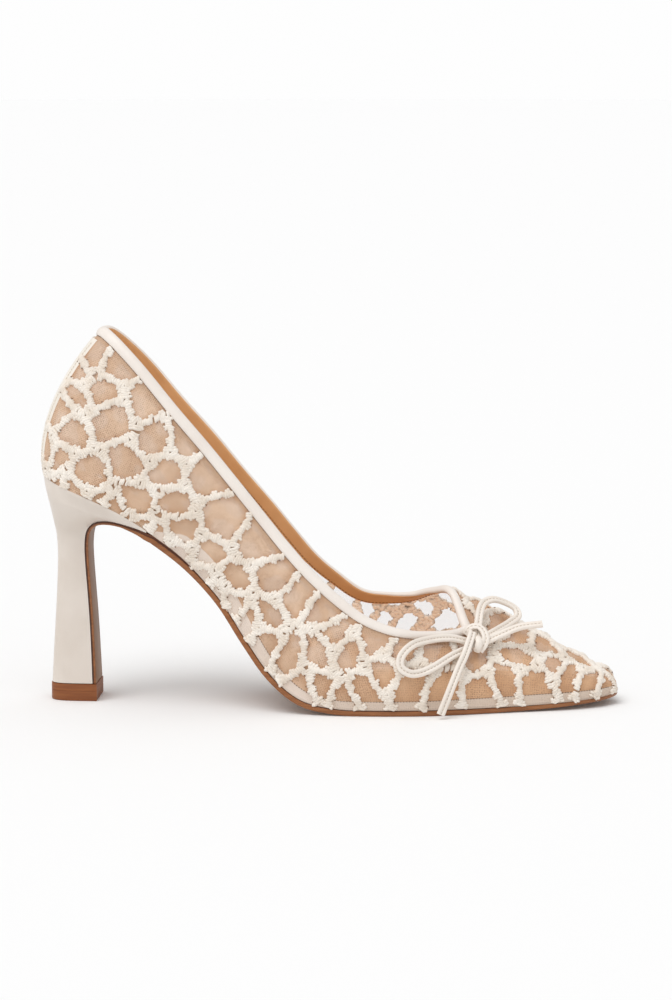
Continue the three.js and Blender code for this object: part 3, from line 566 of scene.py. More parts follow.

# The embroidery: cords of slanted satin stitches in thick cream thread, worked over the net in a
# network of uneven rounded cells. Each stitch is its own loop of thread, swollen in the middle. The
# chart gives the cells' middles, set down one by one as they lie in the side view of the outer side.
cell_chart = [
    (456, 600), (463, 612), (480, 608), (499, 624), (517, 637), (118, 369), (93, 356), (80, 374),
    (103, 390), (77, 394), (149, 402), (110, 423), (63, 412), (70, 435), (152, 440), (124, 460),
    (186, 437), (87, 471), (163, 475), (202, 477), (134, 499), (171, 499), (217, 518), (49, 449),
    (58, 458), (179, 528), (204, 555), (255, 544), (270, 575), (233, 577), (229, 597), (265, 618),
    (249, 623), (299, 598), (324, 613), (338, 633), (265, 644), (292, 657), (320, 655), (351, 655),
    (373, 644), (387, 669), (306, 690), (323, 686), (365, 690), (415, 683), (368, 606), (384, 614),
    (402, 618), (422, 606), (441, 618), (352, 597), (396, 602), (436, 650), (475, 659), (522, 657),
    (543, 647), (502, 678), (536, 681), (479, 690), (555, 667), (567, 671), (579, 662), (591, 679),
    (443, 690), (404, 655), (345, 697), (608, 688),
]
mirror_shift = (7, -5)
least_spacing = 10.0
seat_spacing, seat_depth = 0.62, 1.6
seat_ends = (0, 7.4, loop_count - 7.2, loop_count - 0.3)


def cell_middles(mirrored):
    """The charted middles dropped on the net, on the side seen or on its mirror."""
    found = []
    flip = np.array([1.0, -1.0 if mirrored else 1.0, 1.0])
    shift = mirror_shift if mirrored else (0, 0)
    for x, y in cell_chart:
        aside, upward = x + shift[0] - picture_width / 2, picture_height / 2 - y - shift[1]
        ray = (view_right * aside + view_up * upward) / picture_focus - view_back
        hit = net_tree.ray_cast(Vector(view_point * flip), Vector(unit(ray) * flip))
        if hit[0] is not None:
            found.append(np.array(hit[0]))
    return found


middles = cell_middles(False)
for spot in cell_middles(True):
    if min(np.linalg.norm(spot - other) for other in middles) > least_spacing:
        middles.append(spot)
seat_places = [*np.arange(*seat_ends[:2], seat_spacing), *np.arange(*seat_ends[2:], seat_spacing)]
middles = np.array(middles + list(edge_point(seat_places) - np.array([0, 0, seat_depth])))
# a slow and a quick sway keep the cells' borders from running straight
swayed_points = net_points + 1.1 * np.sin(net_points[:, [1, 2, 0]] / 3.1)
swayed_points = swayed_points + 0.8 * np.sin(net_points[:, [2, 0, 1]] / 1.9 + 2)
middle_far = np.linalg.norm(swayed_points[:, None] - middles[None], axis=2)


def cell_borders():
    """The lines on the net that are as far from one middle as from the next, joined into chains."""
    far, owner = middle_far, middle_far.argmin(1)
    spots, links = {}, {}

    def crossing(i, j):
        key = (min(i, j), max(i, j))
        if key not in spots:
            a, b = owner[i], owner[j]
            near, away = far[i, a] - far[i, b], far[j, a] - far[j, b]
            spots[key] = net_points[i] + (net_points[j] - net_points[i]) * near / (near - away)
        return key

    def link(one, other):
        links.setdefault(one, []).append(other)
        links.setdefault(other, []).append(one)

    for number, triangle in enumerate(net_triangles.tolist()):
        pairs = zip(triangle, triangle[1:] + triangle[:1])
        keys = [crossing(i, j) for i, j in pairs if owner[i] != owner[j]]
        if len(keys) == 2:
            link(*keys)
        elif keys:
            spots[("middle", number)] = np.mean([spots[key] for key in keys], axis=0)
            for key in keys:
                link(("middle", number), key)
    chains, used = [], set()
    for start in [key for key in links if len(links[key]) != 2]:
        for step in links[start]:
            if (start, step) in used:
                continue
            chain = [start, step]
            while len(links[chain[-1]]) == 2:
                chain.append(next(key for key in links[chain[-1]] if key != chain[-2]))
            used.add((chain[-1], chain[-2]))
            chains.append(np.array([spots[key] for key in chain]))
    return chains


def evenly(line, pitch):
    """Points at an even pitch along a line, with the lengths at which they lie."""
    run = lengths_along(line)
    count = max(int(run[-1] / pitch), 1)
    at = (np.arange(count) + 0.5) * run[-1] / count
    return np.stack([np.interp(at, run, line[:, k]) for k in range(3)], 1), at, run[-1]


# a hair-thin ribbon along the topline tells how near a stitch comes to it
topline_count, ribbon_width = 513, 0.01
topline = section_end(np.linspace(-throat_station, throat_station, topline_count))
topline_tree = BVHTree.FromPolygons(
    topline.tolist() + (topline + ribbon_width).tolist(),
    [[i, i + 1, i + 1 + topline_count, i + topline_count] for i in range(topline_count - 1)],
)
stitch_luck = np.random.default_rng(11)
satin, pins = [], []
chain_pitch, least_chain, chain_rounds = 0.8, 1.2, 8
middle_pitch, side_pitch = 0.88, 1.0
middle_length, node_more, swell_more = 2.55, 1.25, 0.85
side_length, side_node_more = 1.75, 0.35
side_offset, side_spread = 1.35, 0.5
wander_size, wander_rate, swell_rate = 0.22, 2.1, 1.15
node_reach, node_side, swell_side = 2.5, 0.4, 0.62
stitch_lift, side_sink = 0.42, 0.14
topline_clear, seam_clear, seam_reach = 3.9, 5.2, 30
missed_share, pin_share, pin_offset = 0.015, 0.16, 0.55

for chain in cell_borders():
    line, _, total = evenly(chain, chain_pitch)
    if total < least_chain:
        continue
    for _ in range(chain_rounds):
        line[1:-1] = 0.25 * line[:-2] + 0.5 * line[1:-1] + 0.25 * line[2:]
    slant = stitch_luck.choice([-1, 1]) * stitch_luck.uniform(0.15, 0.45)
    phase = stitch_luck.uniform(0, 6.3)
    stout = stitch_luck.uniform(-0.25, 0.35)
    doubled = stitch_luck.choice([-1, 1])
    for lane in (0, -1, 1):
        spots, at, total = evenly(line, side_pitch if lane else middle_pitch)
        if len(spots) < 2:
            continue
        ahead = unit(np.gradient(spots, axis=0))
        facing = on_net(spots)[1]
        across = unit(np.cross(facing, ahead))
        node = np.exp(-((np.minimum(at, total - at) / node_reach) ** 2))
        swell = 0.5 + 0.5 * np.sin(at * swell_rate + phase)
        long = middle_length + stout + node_more * node + swell_more * swell * (1 - node)
        if lane:
            long = side_length + side_node_more * node
        wander = wander_size * np.sin(at * wander_rate + phase)
        wander += lane * (side_offset + side_spread * node)
        beside = (node > node_side) | ((swell > swell_side) & (lane == doubled))
        spots, facing = on_net(spots + across * wander[:, None], stitch_lift - side_sink * abs(lane))
        for i in range(len(spots)):
            left_out = topline_tree.find_nearest(Vector(spots[i]))[3] < topline_clear
            left_out |= spots[i][0] < seam_reach and abs(spots[i][1]) < seam_clear
            left_out |= bool(lane) and not beside[i]
            if left_out or stitch_luck.random() < missed_share:
                continue
            lean = slant * (1 - 1.6 * abs(lane)) + stitch_luck.normal(0, 0.07)
            spot = spots[i] + across[i] * stitch_luck.normal(0, 0.08)
            along = across[i] * math.cos(lean) + ahead[i] * math.sin(lean)
            length = long[i] + stitch_luck.normal(0, 0.13)
            size = (length, stitch_luck.uniform(1.2, 1.44), stitch_luck.uniform(1.2, 1.75))
            satin.append((spot, along, facing[i], size))
            if not lane and stitch_luck.random() < pin_share:
                pins.append(spots[i] + across[i] * stitch_luck.choice([-pin_offset, pin_offset]) * long[i])


def thread_loop(name, sides):
    """One stitch a millimetre long, wide and high: a bar of thread that dives at both ends."""
    profile = [(-0.5, 0.42, -0.2), (-0.4, 0.88, -0.05), (-0.16, 1.04, 0.08)]
    profile += [(-along, size, rise) for along, size, rise in profile[::-1]]
    points, faces = [], []
    for along, size, rise in profile:
        for k in range(sides):
            angle = 2 * math.pi * (k + 0.5) / sides
            points.append((along, 0.5 * size * math.cos(angle), 0.5 * size * math.sin(angle) + rise))
    for ring in range(len(profile) - 1):
        for k in range(sides):
            here, there = ring * sides, (ring + 1) * sides
            faces.append([here + k, there + k, there + (k + 1) % sides, here + (k + 1) % sides])
    faces.append(list(range(sides)))
    faces.append([len(points) - 1 - k for k in range(sides)])
    mesh = bpy.data.meshes.new(name)
    mesh.from_pydata(points, [], faces)
    mesh.polygons.foreach_set("use_smooth", [True] * len(mesh.polygons))
    return bpy.data.objects.new(name, mesh)


def stitching_tree():
    """Sets one stitch on each point, turned by its along and facing, sized by its size."""
    tree = bpy.data.node_groups.new("stitching", "GeometryNodeTree")
    for name, kind in (("Ground", "Geometry"), ("Stitch", "Object"), ("Thread", "Material")):
        tree.interface.new_socket(name, in_out="INPUT", socket_type="NodeSocket" + kind)
    tree.interface.new_socket("Stitches", in_out="OUTPUT", socket_type="NodeSocketGeometry")
    node, join = tree.nodes.new, tree.links.new
    inlet, outlet = node("NodeGroupInput"), node("NodeGroupOutput")
    info, turned = node("GeometryNodeObjectInfo"), node("FunctionNodeAxesToRotation")
    turned.primary_axis, turned.secondary_axis = "Z", "X"
    place, real = node("GeometryNodeInstanceOnPoints"), node("GeometryNodeRealizeInstances")
    dye = node("GeometryNodeSetMaterial")
    for name, socket in (
        ("facing", turned.inputs["Primary Axis"]),
        ("along", turned.inputs["Secondary Axis"]),
        ("size", place.inputs["Scale"]),
    ):
        named = node("GeometryNodeInputNamedAttribute")
        named.data_type = "FLOAT_VECTOR"
        named.inputs["Name"].default_value = name
        join(named.outputs[0], socket)
    for giver, out, taker, into in (
        (inlet, "Ground", place, "Points"),
        (inlet, "Stitch", info, "Object"),
        (inlet, "Thread", dye, "Material"),
        (info, "Geometry", place, "Instance"),
        (turned, 0, place, "Rotation"),
        (place, 0, real, 0),
        (real, 0, dye, "Geometry"),
        (dye, 0, outlet, "Stitches"),
    ):
        join(giver.outputs[out], taker.inputs[into])
    return tree


stitching = stitching_tree()


def sewn(name, spots, along, facing, size, stitch, thread, slot):
    """The stitches of one row or patch as one plain mesh, riding on the shoe."""
    ground = bpy.data.meshes.new(name + "_ground")
    ground.from_pydata(in_place(spots).tolist(), [], [])
    sizes = np.broadcast_to(size, (len(spots), 3)) * MM
    for key, values in (("along", along), ("facing", facing), ("size", sizes)):
        mark(ground, key, values)
    holder = set_out(name + "_ground", ground)
    modifier = holder.modifiers.new("stitching", "NODES")
    modifier.node_group = stitching
    keys = {item.name: item.identifier for item in stitching.interface.items_tree if item.in_out == "INPUT"}
    modifier[keys["Stitch"]] = stitch
    modifier[keys["Thread"]] = thread
    bpy.context.view_layer.update()
    shown = holder.evaluated_get(bpy.context.evaluated_depsgraph_get())
    mesh = bpy.data.meshes.new_from_object(shown)
    mesh.name = name
    bpy.data.objects.remove(holder)
    for key in ("along", "facing", "size"):
        if key in mesh.attributes:
            mesh.attributes.remove(mesh.attributes[key])
    mesh.polygons.foreach_set("use_smooth", [True] * len(mesh.polygons))
    piece = set_out(name, mesh)
    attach(piece, "root")


def thread_finish(name, light, shade, sheen=0.1, glow=0.0):
    """Soft twisted thread: fine fibres across its colour, a little silky; a glow, where given, is painted
    light.
    """
    finish = Finish(name)
    finish.set(Base_Color=finish.clouded(140.0, light, shade, 0.35, 0.65), Roughness=0.62)
    finish.set(Sheen_Weight=sheen, Sheen_Roughness=0.4, Specular_IOR_Level=0.35)
    finish.set(Emission_Color=light, Emission_Strength=glow)
    finish.bump(finish.noise(2600.0, 2.0), 0.35, 0.00012)
    return finish.material


cream_thread = thread_finish("cream_thread", (245, 237, 227), (232, 220, 206), 0.15)
satin_loop = thread_loop("satin_loop", 6)
satin = np.array(satin)
on_outer = satin[:, 0, 1] < 0
for side_name, chosen in (("outer", on_outer), ("inner", ~on_outer)):
    rows = satin[chosen].swapaxes(0, 1)
    sewn("embroidery_" + side_name, *rows, satin_loop, cream_thread, "embroidered_mesh")
# painted shade: short dark pricks beside the cords, standing in for the shade in the holes where the needle
# went through the net
pin_hole_shade = thread_finish("pin_shadow", (140, 104, 76), (118, 84, 60), 0.0)
pin_lift, pin_size = 0.66, (0.62, 0.42, 0.5)
pin_spots, pin_facing = on_net(pins, pin_lift)
pin_along = unit(np.cross(pin_facing, np.array([0.3, 0.9, 0.4])))
small_loop = thread_loop("small_loop", 5)
sewn("pin_holes", pin_spots, pin_along, pin_facing, pin_size, small_loop, pin_hole_shade, "embroidered_mesh")
# painted shade: the net is darkened beside the cords, where the raised cords shade it
cord_half, cord_fade = 1.5, 1.6
nearest_two = np.sort(middle_far, axis=1)[:, :2]
cord_far = (nearest_two[:, 1] - nearest_two[:, 0]) / 2
mark(net.data, "cord_shade", np.clip(1 - (cord_far - cord_half) / cord_fade, 0, 1))

# The bobbin side of the embroidery: flat pale stitches on the inside of the net, under every other
# stitch of the cords. They are what the far wall shows over the topline.
# painted light: the bobbin thread is paler and glows faintly, standing in for light shining through the thin
# far wall from behind
bobbin_thread = thread_finish("bobbin_thread", (252, 236, 218), (246, 224, 200), 0.1, 0.2)
bobbin_depth = 0.62
bobbin_size = np.array([1.0, 2.0, 0.3])


def flat_loop(name):
    """One flat stitch a millimetre long, wide and high: a lozenge with a low ridge."""
    points = [(-0.5, 0, 0), (-0.3, 0.5, 0), (-0.3, -0.5, 0), (0.3, 0.5, 0), (0.3, -0.5, 0), (0.5, 0, 0)]
    points += [(-0.3, 0, 0.5), (0.3, 0, 0.5)]
    faces = [(0, 2, 6), (0, 6, 1), (1, 6, 7, 3), (2, 4, 7, 6), (5, 3, 7), (5, 7, 4), (0, 1, 3, 5, 4, 2)]
    mesh = bpy.data.meshes.new(name)
    mesh.from_pydata(points, [], faces)
    return bpy.data.objects.new(name, mesh)


spots, along, facing, sizes = satin[::2].swapaxes(0, 1)
sewn(
    "embroidery_back", spots - facing * bobbin_depth, along, -facing, sizes * bobbin_size,
    flat_loop("bobbin_loop"), bobbin_thread, "embroidered_mesh",
)

# The facing: a tan leather band inside the topline, sewn near its lower edge with a row of fine
# brown stitches. It follows the topline from throat to throat.
topline_steps = 12
topline_path = section_end(np.arange(throat_station, -throat_station - 1e-6, -1 / topline_steps))
facing_low, facing_seam = 5.2, 4.5
facing_profile = [
    (-0.2, -0.6), (0.5, -0.34), (facing_low, -0.34), (facing_low + 0.15, -0.6), (facing_low, -1.0),
    (facing_low - 0.5, -1.15), (0.6, -1.45), (-0.1, -1.5), (-0.45, -1.25), (-0.45, -0.9),
]


def shared(name, points, faces, materials, slot, face_slots=None, crease=50.0):
    """A closed piece with welded corners and its faces turned outwards, riding on the shoe."""
    piece = new_piece(name, points, faces, materials, face_slots)
    work = bmesh.new()
    work.from_mesh(piece.data)
    bmesh.ops.remove_doubles(work, verts=work.verts, dist=1e-6)
    bmesh.ops.recalc_face_normals(work, faces=work.faces)
    work.to_mesh(piece.data)
    work.free()
    piece.data.set_sharp_from_angle(angle=math.radians(crease))
    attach(piece, "root")
    return piece


def swept(rings):
    """The points and faces of a body through closed rings, with laddered ends."""
    rings = np.asarray(rings, float)
    count = rings.shape[1]
    ids = np.arange(len(rings) * count).reshape(len(rings), count)
    faces = []
    for r in range(len(rings) - 1):
        for i in range(count):
            j = (i + 1) % count
            faces.append([ids[r, i], ids[r, j], ids[r + 1, j], ids[r + 1, i]])
    for ring in (ids[0], ids[-1][::-1]):
        for i in range(count // 2 - 1):
            faces.append([ring[i], ring[count - 1 - i], ring[count - 2 - i], ring[i + 1]])
    return rings.reshape(-1, 3), faces


def along_edge(path, profile_at):
    """Rings along a path on the net: each profile gives how deep below the path and how proud."""
    run = unit(np.gradient(path, axis=0))
    normals = eased(on_net(path)[1], 6)
    deep_way = unit(np.cross(normals, run))
    rings = []
    for i in range(len(path)):
        ring = []
        for deep, proud in profile_at(i):
            if deep <= 0:
                ring.append(path[i] + deep_way[i] * deep + normals[i] * proud)
            else:
                ring.append(on_net(path[i] + deep_way[i] * deep, proud)[0][0])
        rings.append(ring)
    return np.array(rings)


def tan_leather(name, light, shade, rough=0.55, glow=0.0):
    """Smooth tan lining leather with a fine grain and a faint cloudiness; a glow, where given, is painted
    light.
    """
    finish = Finish(name)
    finish.set(Emission_Color=light, Emission_Strength=glow)
    finish.set(Base_Color=finish.clouded(60.0, light, shade), Roughness=rough, Specular_IOR_Level=0.35)
    finish.bump(finish.noise(1900.0, 2.0), 0.2)
    return finish.material


def thread_row(name, path, deep, proud, pitch, size, thread, slot="cream_leather", side=1.0):
    """An even row of running stitches, so deep below a path on the net and so proud of it."""
    run = unit(np.gradient(path, axis=0))
    line = on_net(path + unit(np.cross(on_net(path)[1], run)) * deep)[0]
    spots = evenly(line, pitch)[0]
    ahead = unit(np.gradient(spots, axis=0))
    spots, facing = on_net(spots, proud)
    sewn(name, spots, ahead, facing * side, size, small_loop, thread, slot)


facing_rings = along_edge(topline_path, lambda i: facing_profile)
facing_leather = tan_leather("facing_leather", (226, 174, 122), (216, 162, 110))
shared("topline_facing", *swept(facing_rings), [facing_leather], "tan_lining")
facing_thread = thread_finish("facing_thread", (150, 96, 52), (128, 80, 42))
facing_stitch = (1.15, 0.36, 0.34)
thread_row(
    "facing_stitches", topline_path, facing_seam, -1.2, 1.5, facing_stitch, facing_thread, "tan_lining", -1.0
)

# The binding: a strip of cream leather folded over the topline and puffed to a soft roll, with a row
# of small dark stitches beside it. It narrows towards the throat, where the outer end laps over the
# inner one with a rounded end.
def cream_finish(name, light, shade, gloss=0.42, grain=0.16):
    """Cream leather, smooth and satin, very slightly clouded, with a fine grain."""
    finish = Finish(name)
    finish.set(Base_Color=finish.clouded(48.0, light, shade), Roughness=gloss, Specular_IOR_Level=0.4)
    finish.bump(finish.dots(finish.object_place, 1500.0), grain)
    return finish.material


binding_lap, lap_rings = 3.0, 14
binding_stop = 1.2
widest_roll, roll_narrowing = 3.6, 0.75
narrowing_from, narrowing_run = 0.5, 0.3
lap_rise, lap_ramp, lap_round = 0.9, 3.0, 2.0
throat_climb, climb_length = 1.7, 13.0
lap_way = unit(topline_path[0] - topline_path[1])
lap_lengths = np.linspace(binding_lap, 0, lap_rings, endpoint=False)
stop_way = unit(topline_path[-2] - topline_path[0])
binding_path = np.concatenate([
    topline_path[0] + lap_lengths[:, None] * lap_way,
    topline_path[:-1],
    [topline_path[0] + stop_way * binding_stop],
])
binding_run = lengths_along(binding_path)
roll_out = [(1.0, 0.12), (1.0, 0.5), (0.93, 0.86), (0.78, 1.16), (0.58, 1.36), (0.36, 1.42), (0.14, 1.25)]
roll_in = [
    (-0.1, 1.0), (-0.6, 0.55), (-0.85, 0.1), (-0.95, -0.35), (-0.85, -0.8), (-0.5, -1.1), (0.0, -1.15),
    (0.3, -1.0), (0.3, -0.45), (0.1, -0.42), (0.0, 0.1),
]


def upto(value):
    """The value, held between nought and one."""
    return min(max(value, 0), 1)


def binding_width(share):
    """The width of the roll's outer leg, from throat (-1) round the heel (0) to throat (1)."""
    return widest_roll - roll_narrowing * upto((abs(share) - narrowing_from) / narrowing_run)


def roll_at(i):
    """The roll's profile: full width at the collar, narrower on the vamp, shut at the lapped end."""
    width = binding_width(i / (len(binding_path) - 1) * 2 - 1)
    raise_by = climb = 0.0
    if i < len(binding_path) // 2:
        raise_by = lap_rise * upto((binding_run[lap_rings] - binding_run[i] + lap_ramp) / lap_ramp)
        climb = throat_climb * (1 - upto((binding_run[i] - binding_lap) / climb_length)) ** 2
    end = 1.0
    if i < lap_rings:
        end = math.sqrt(max(1 - (1 - min(binding_run[i] / lap_round, 1)) ** 2, 0.02))
    middle = 0.4 * width
    roll = [(deep * width - climb, proud) for deep, proud in roll_out]
    roll += [(deep - climb, proud) for deep, proud in roll_in]
    return [
        (middle + (deep - middle) * end, proud * (0.35 + 0.65 * end) + raise_by * (proud > -0.4))
        for deep, proud in roll
    ]


binding_leather = cream_finish("binding_leather", (241, 233, 225), (235, 225, 216))
binding_rings = along_edge(binding_path, roll_at)
binding = shared("topline_binding", *swept(binding_rings), [binding_leather], "cream_leather")
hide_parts("collar_binding")
dark_thread = thread_finish("dark_thread", (122, 98, 78), (98, 76, 58))
beside_roll = slice(topline_steps, -topline_steps)
row_shares = np.linspace(-1, 1, len(topline_path))[beside_roll]
row_depths = np.array([[binding_width(share) + 0.05] for share in row_shares])
binding_stitch = (0.75, 0.28, 0.28)
thread_row("binding_stitches", topline_path[beside_roll], row_depths, 0.2, 1.15, binding_stitch, dark_thread)

# The back strip over the rear seam: the same cream leather, skived at its edges and edge-stitched,
# with its raw tan side showing inside the heel through the net.
strip_rows, strip_columns = 40, 12
strip_half = 6.2 / np.linalg.norm(edge_point(0.0) - edge_point(1.0))
strip_under = 0.05
strip_foot, strip_widening = 0.85, 0.55
strip_low, strip_high = 0.015, 0.925
strip_seam, seam_low, seam_high = 0.82, 0.04, 0.9
strip_proud = [0.12, 0.62, 0.86, 0.92, 0.94, 0.95]
strip_proud = np.array(strip_proud + [0.95] + strip_proud[::-1])


def strip_point(across, share):
    place = across * strip_half * (strip_foot + strip_widening * share)
    return upper_point(place % loop_count, np.atleast_1d(share))[0]


strip_rings = []
for share in np.linspace(strip_low, strip_high, strip_rows):
    line = [strip_point(across, share) for across in np.linspace(-1, 1, strip_columns + 1)]
    over = on_net(line, strip_proud)[0]
    under = on_net(line[::-1], strip_under)[0]
    strip_rings.append(np.concatenate([over, under]))
strip_points, strip_faces = swept(strip_rings)
strip_count = 2 * (strip_columns + 1)
# the raw side's material goes on the faces of each ring's second half
strip_slots = [
    int(index < (strip_rows - 1) * strip_count and strip_columns < index % strip_count < strip_count - 1)
    for index in range(len(strip_faces))
]
strip_materials = [
    cream_finish("strip_leather", (243, 236, 226), (235, 227, 215)),
    # painted light: the raw side glows faintly, so that it does not read dark inside the shaded heel
    tan_leather("strip_underside", (236, 204, 168), (226, 192, 154), 0.6, 0.3),
]
back_strip = shared("rear_strip", strip_points, strip_faces, strip_materials, "cream_leather", strip_slots)
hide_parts("back_strip")
cream_small = thread_finish("cream_small", (232, 222, 206), (222, 210, 192))
fine_stitch = (0.95, 0.3, 0.26)
for side_name, side in (("inner", -strip_seam), ("outer", strip_seam)):
    strip_edge = np.array([strip_point(side, share) for share in np.linspace(seam_low, seam_high, 60)])
    thread_row("strip_stitches_" + side_name, strip_edge, 0.0, 0.92, 1.3, fine_stitch, cream_small)

# The margin's stitch row: fine dark stitches along the pale band's upper edge, on the net, from the
# arch to near the toe on either side.
margin_stitch = (0.75, 0.26, 0.24)
margin_from, margin_to = 8 * net_steps, 22 * net_steps
margin_lines = np.array([
    [np.interp(height, up, line[:, k]) for k in range(3)]
    for height, up, line in zip(margin_height, net_up, net_grid)
])
for side_name, columns in (
    ("outer", slice(margin_from, margin_to)),
    ("inner", slice(len(net_places) - margin_to, len(net_places) - margin_from)),
):
    thread_row(
        "margin_stitches_" + side_name, margin_lines[columns], 0.0, 0.1, 1.2, margin_stitch, dark_thread,
        "embroidered_mesh",
    )

# The sock: a thin tan leather bed that lines the shoe inside the sole's edge, rounded at its rim and
# glued down.
sock_inset, sock_lift, sock_thick = 2.3, 0.3, 1.6
sock_profile = [
    (0.0, 0.0), (0.0, 0.55), (0.08, 0.8), (0.3, 0.95), (0.7, 1.0), (6.0, 1.0), (12.0, 0.97),
]
rim_width, sock_reach, sock_steps = 1.0, 0.8, 6
sock_rings = []
for place in np.arange(0, toe_station + 1e-6, 1 / sock_steps):
    sides = []
    for side_place in (place, across_from(place)):
        reach = abs(edge_point(side_place)[1]) - sock_inset
        line = []
        for inset, height in sock_profile:
            inset = min(inset, max(reach * sock_reach, 0)) if inset > rim_width else inset
            line.append(on_bed(side_place, sock_inset + inset, sock_lift + height * sock_thick))
        sides.append(line)
    sock_rings.append(sides[0] + sides[1][::-1])
sock_leather = tan_leather("sock_leather", (205, 156, 104), (192, 142, 92))
sock = shared("sock", *swept(sock_rings), [sock_leather], "tan_lining")
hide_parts("insole")

# The outsole: one tan leather sole with a dark stained upper band and a lighter polished lower band
# on its edge. It thins behind the arch and runs down the breast of the heel as a flap.
heel_stem_width = 17.0
seat_length = 46.5
top_piece_height = 7.0
wing_tip = 0.9
gap = 0.3
flap_thickness = 1.2
last_sole_station, sole_steps = 5, 6
toe_thin_start, toe_thinning = 14.5, 0.42
flap_thin_sections, flap_step = 3.5, 0.25
# front along and up, back along and up, stem width, flare to the seat's width
heel_rows = np.array([
    (0.935, 0.776, 0.056, 0.96, 1, 0.93),
    (0.839, 0.79, 0.075, 0.915, 1, 0.84),
    (0.731, 0.801, 0.097, 0.866, 1, 0.67),
    (0.624, 0.803, 0.116, 0.819, 1, 0.49),
    (0.533, 0.793, 0.133, 0.772, 1, 0.31),
    (0.465, 0.767, 0.148, 0.731, 1, 0.155),
    (0.428, 0.729, 0.155, 0.69, 1, 0.06),
    (0.415, 0.666, 0.159, 0.637, 1, 0.01),
    (0.419, 0.584, 0.158, 0.572, 0.975, 0),
    (0.437, 0.443, 0.148, 0.443, 0.955, 0),
    (0.454, 0.302, 0.133, 0.302, 0.99, 0),
    (0.467, 0.149, 0.116, 0.149, 1.06, 0),
    (0.477, 0.0, 0.101, 0.0, 1.15, 0),
])
heel_foot = top_piece_height + gap
heel_rise = heel_height - heel_foot
level = np.zeros(len(heel_rows))
heel_fronts = np.stack([heel_rows[:, 0] * seat_length, level, heel_foot + heel_rows[:, 1] * heel_rise], 1)
heel_backs = np.stack([heel_rows[:, 2] * seat_length, level, heel_foot + heel_rows[:, 3] * heel_rise], 1)
heel_halves = heel_rows[:, 4] * heel_stem_width / 2 + heel_rows[:, 5] * (seat_width - heel_stem_width) / 2
side_places = np.linspace(0, 8, 4001)
side_lengths = edge_point(side_places)[:, 0]


def place_at(length):
    """The place along the outer edge at a length along the shoe."""
    return float(np.interp(length, side_lengths, side_places))


seat_edge = edge_point(place_at(seat_length))
wing_front = np.array([seat_edge[0], 0.0, seat_edge[2] - wing_tip])
sole_profile = [
    (0.6, 0.0), (0.6, 0.14), (0.6, 0.34), (0.5, 0.38), (0.12, 0.39), (0.0, 0.44), (0.0, 0.78), (0.09, 0.9),
    (0.26, 0.97), (0.5, 1.0),
]


def sole_ring(sides, thick):
    outer, inner = ([at(inset, -depth * thick) for inset, depth in sole_profile] for at in sides)
    return outer + inner[::-1]


def bed_side(at):
    """The sole's edge on one side, as in from it and down from the bed."""
    return lambda inset, height: on_bed(at, inset, height)


def flap_side(side, point, half, run, thin):
    """The flap's edge on one side, as in from it and square down from its face."""
    down = np.array([-run[2], 0, run[0]])

    def spot(inset, height):
        at = point + down * (gap - height)
        at[1] = side * (half - inset * thin)
        return at

    return spot


sole_rings = []
for place in np.arange(toe_station, last_sole_station - 1e-6, -1 / sole_steps):
    toe_share = max(0, place - toe_thin_start) / (toe_station - toe_thin_start)
    thick = sole_thickness * (1 - toe_thinning * toe_share**1.5)
    sole_rings.append(sole_ring([bed_side(place), bed_side(loop_count - place)], thick))
flap_points = np.array([wing_front, *heel_fronts])
flap_halves = np.array([abs(seat_edge[1]), *heel_halves])
flap_before = edge_point(last_sole_station) * np.array([1, 0, 1])
flap_steps = np.arange(0, len(flap_points) - 1 + 1e-6, flap_step)
flap_line = between(flap_points, flap_steps, False)
flap_half = between(flap_halves, flap_steps, False)
flap_run = unit(np.gradient(np.array([flap_before, *flap_line]), axis=0))[1:]
flap_run[0] = unit(flap_line[0] - flap_before + flap_line[1] - flap_line[0])
for step, point, half, run in zip(flap_steps, flap_line, flap_half, flap_run):
    share = max(0, 1 - (step + 1) / flap_thin_sections)
    thick = flap_thickness + (sole_thickness - flap_thickness) * share
    sides = [flap_side(side, point, half, run, thick / sole_thickness) for side in (-1, 1)]
    sole_rings.append(sole_ring(sides, thick))
sole_points, sole_faces = swept(sole_rings)
band_rows = len(sole_profile)
band_count = 2 * band_rows
line_rows, stained_rows = 1, 3
polished, stained, bottom, top_line = range(4)
sole_slots = []
for index in range(len(sole_faces)):
    corner = index % band_count
    from_top = min(corner, band_count - 2 - corner) if corner < band_count - 1 else 0
    made_of = bottom if corner == band_rows - 1 else polished
    if from_top < stained_rows:
        made_of = top_line if from_top < line_rows else stained
    at_end = index >= (len(sole_rings) - 1) * band_count
    sole_slots.append(polished if at_end else made_of)


def edge_stain(name, light, shade, rough):
    """Waxed leather edge: streaks of fibre along the sole, darker and lighter."""
    finish = Finish(name)
    stretch = finish.node("ShaderNodeMapping", Vector=finish.object_place, Scale=(60.0, 60.0, 900.0))
    fibre = finish.ramp(finish.noise(1.0, 4.0, stretch), 0.3, 0.7)
    finish.set(Base_Color=finish.blend(fibre, light, shade), Roughness=rough, Specular_IOR_Level=0.45)
    finish.bump(fibre, 0.12)
    return finish.material


sole_materials = [
    edge_stain("polished_edge", (156, 100, 58), (132, 80, 42), 0.4),
    edge_stain("stained_band", (92, 48, 22), (74, 36, 16), 0.5),
    tan_leather("sole_bottom", (150, 108, 74), (136, 96, 62), 0.5),
    edge_stain("dark_line", (116, 68, 38), (98, 54, 28), 0.6),
]
outsole = shared("sole_and_flap", sole_points, sole_faces, sole_materials, "sole_leather", sole_slots, 40.0)
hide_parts("outsole")

# The heel: a moulded core covered in the cream leather, drawn smooth from the seat's wings down a
# slim stem that flares again at its foot.
heel_turns = 56
stem_roundness, foot_roundness = 2.7, 3.9
heel_steps = 6


def ring_shares(roundness):
    """The angles of a ring with how far back and to the side each lies, as shares."""
    for angle in np.linspace(0, math.pi, heel_turns + 1):
        across = -math.cos(angle)
        side = math.copysign(abs(across) ** (2 / roundness), across)
        yield angle, max(math.sin(angle), 0) ** (2 / roundness), side


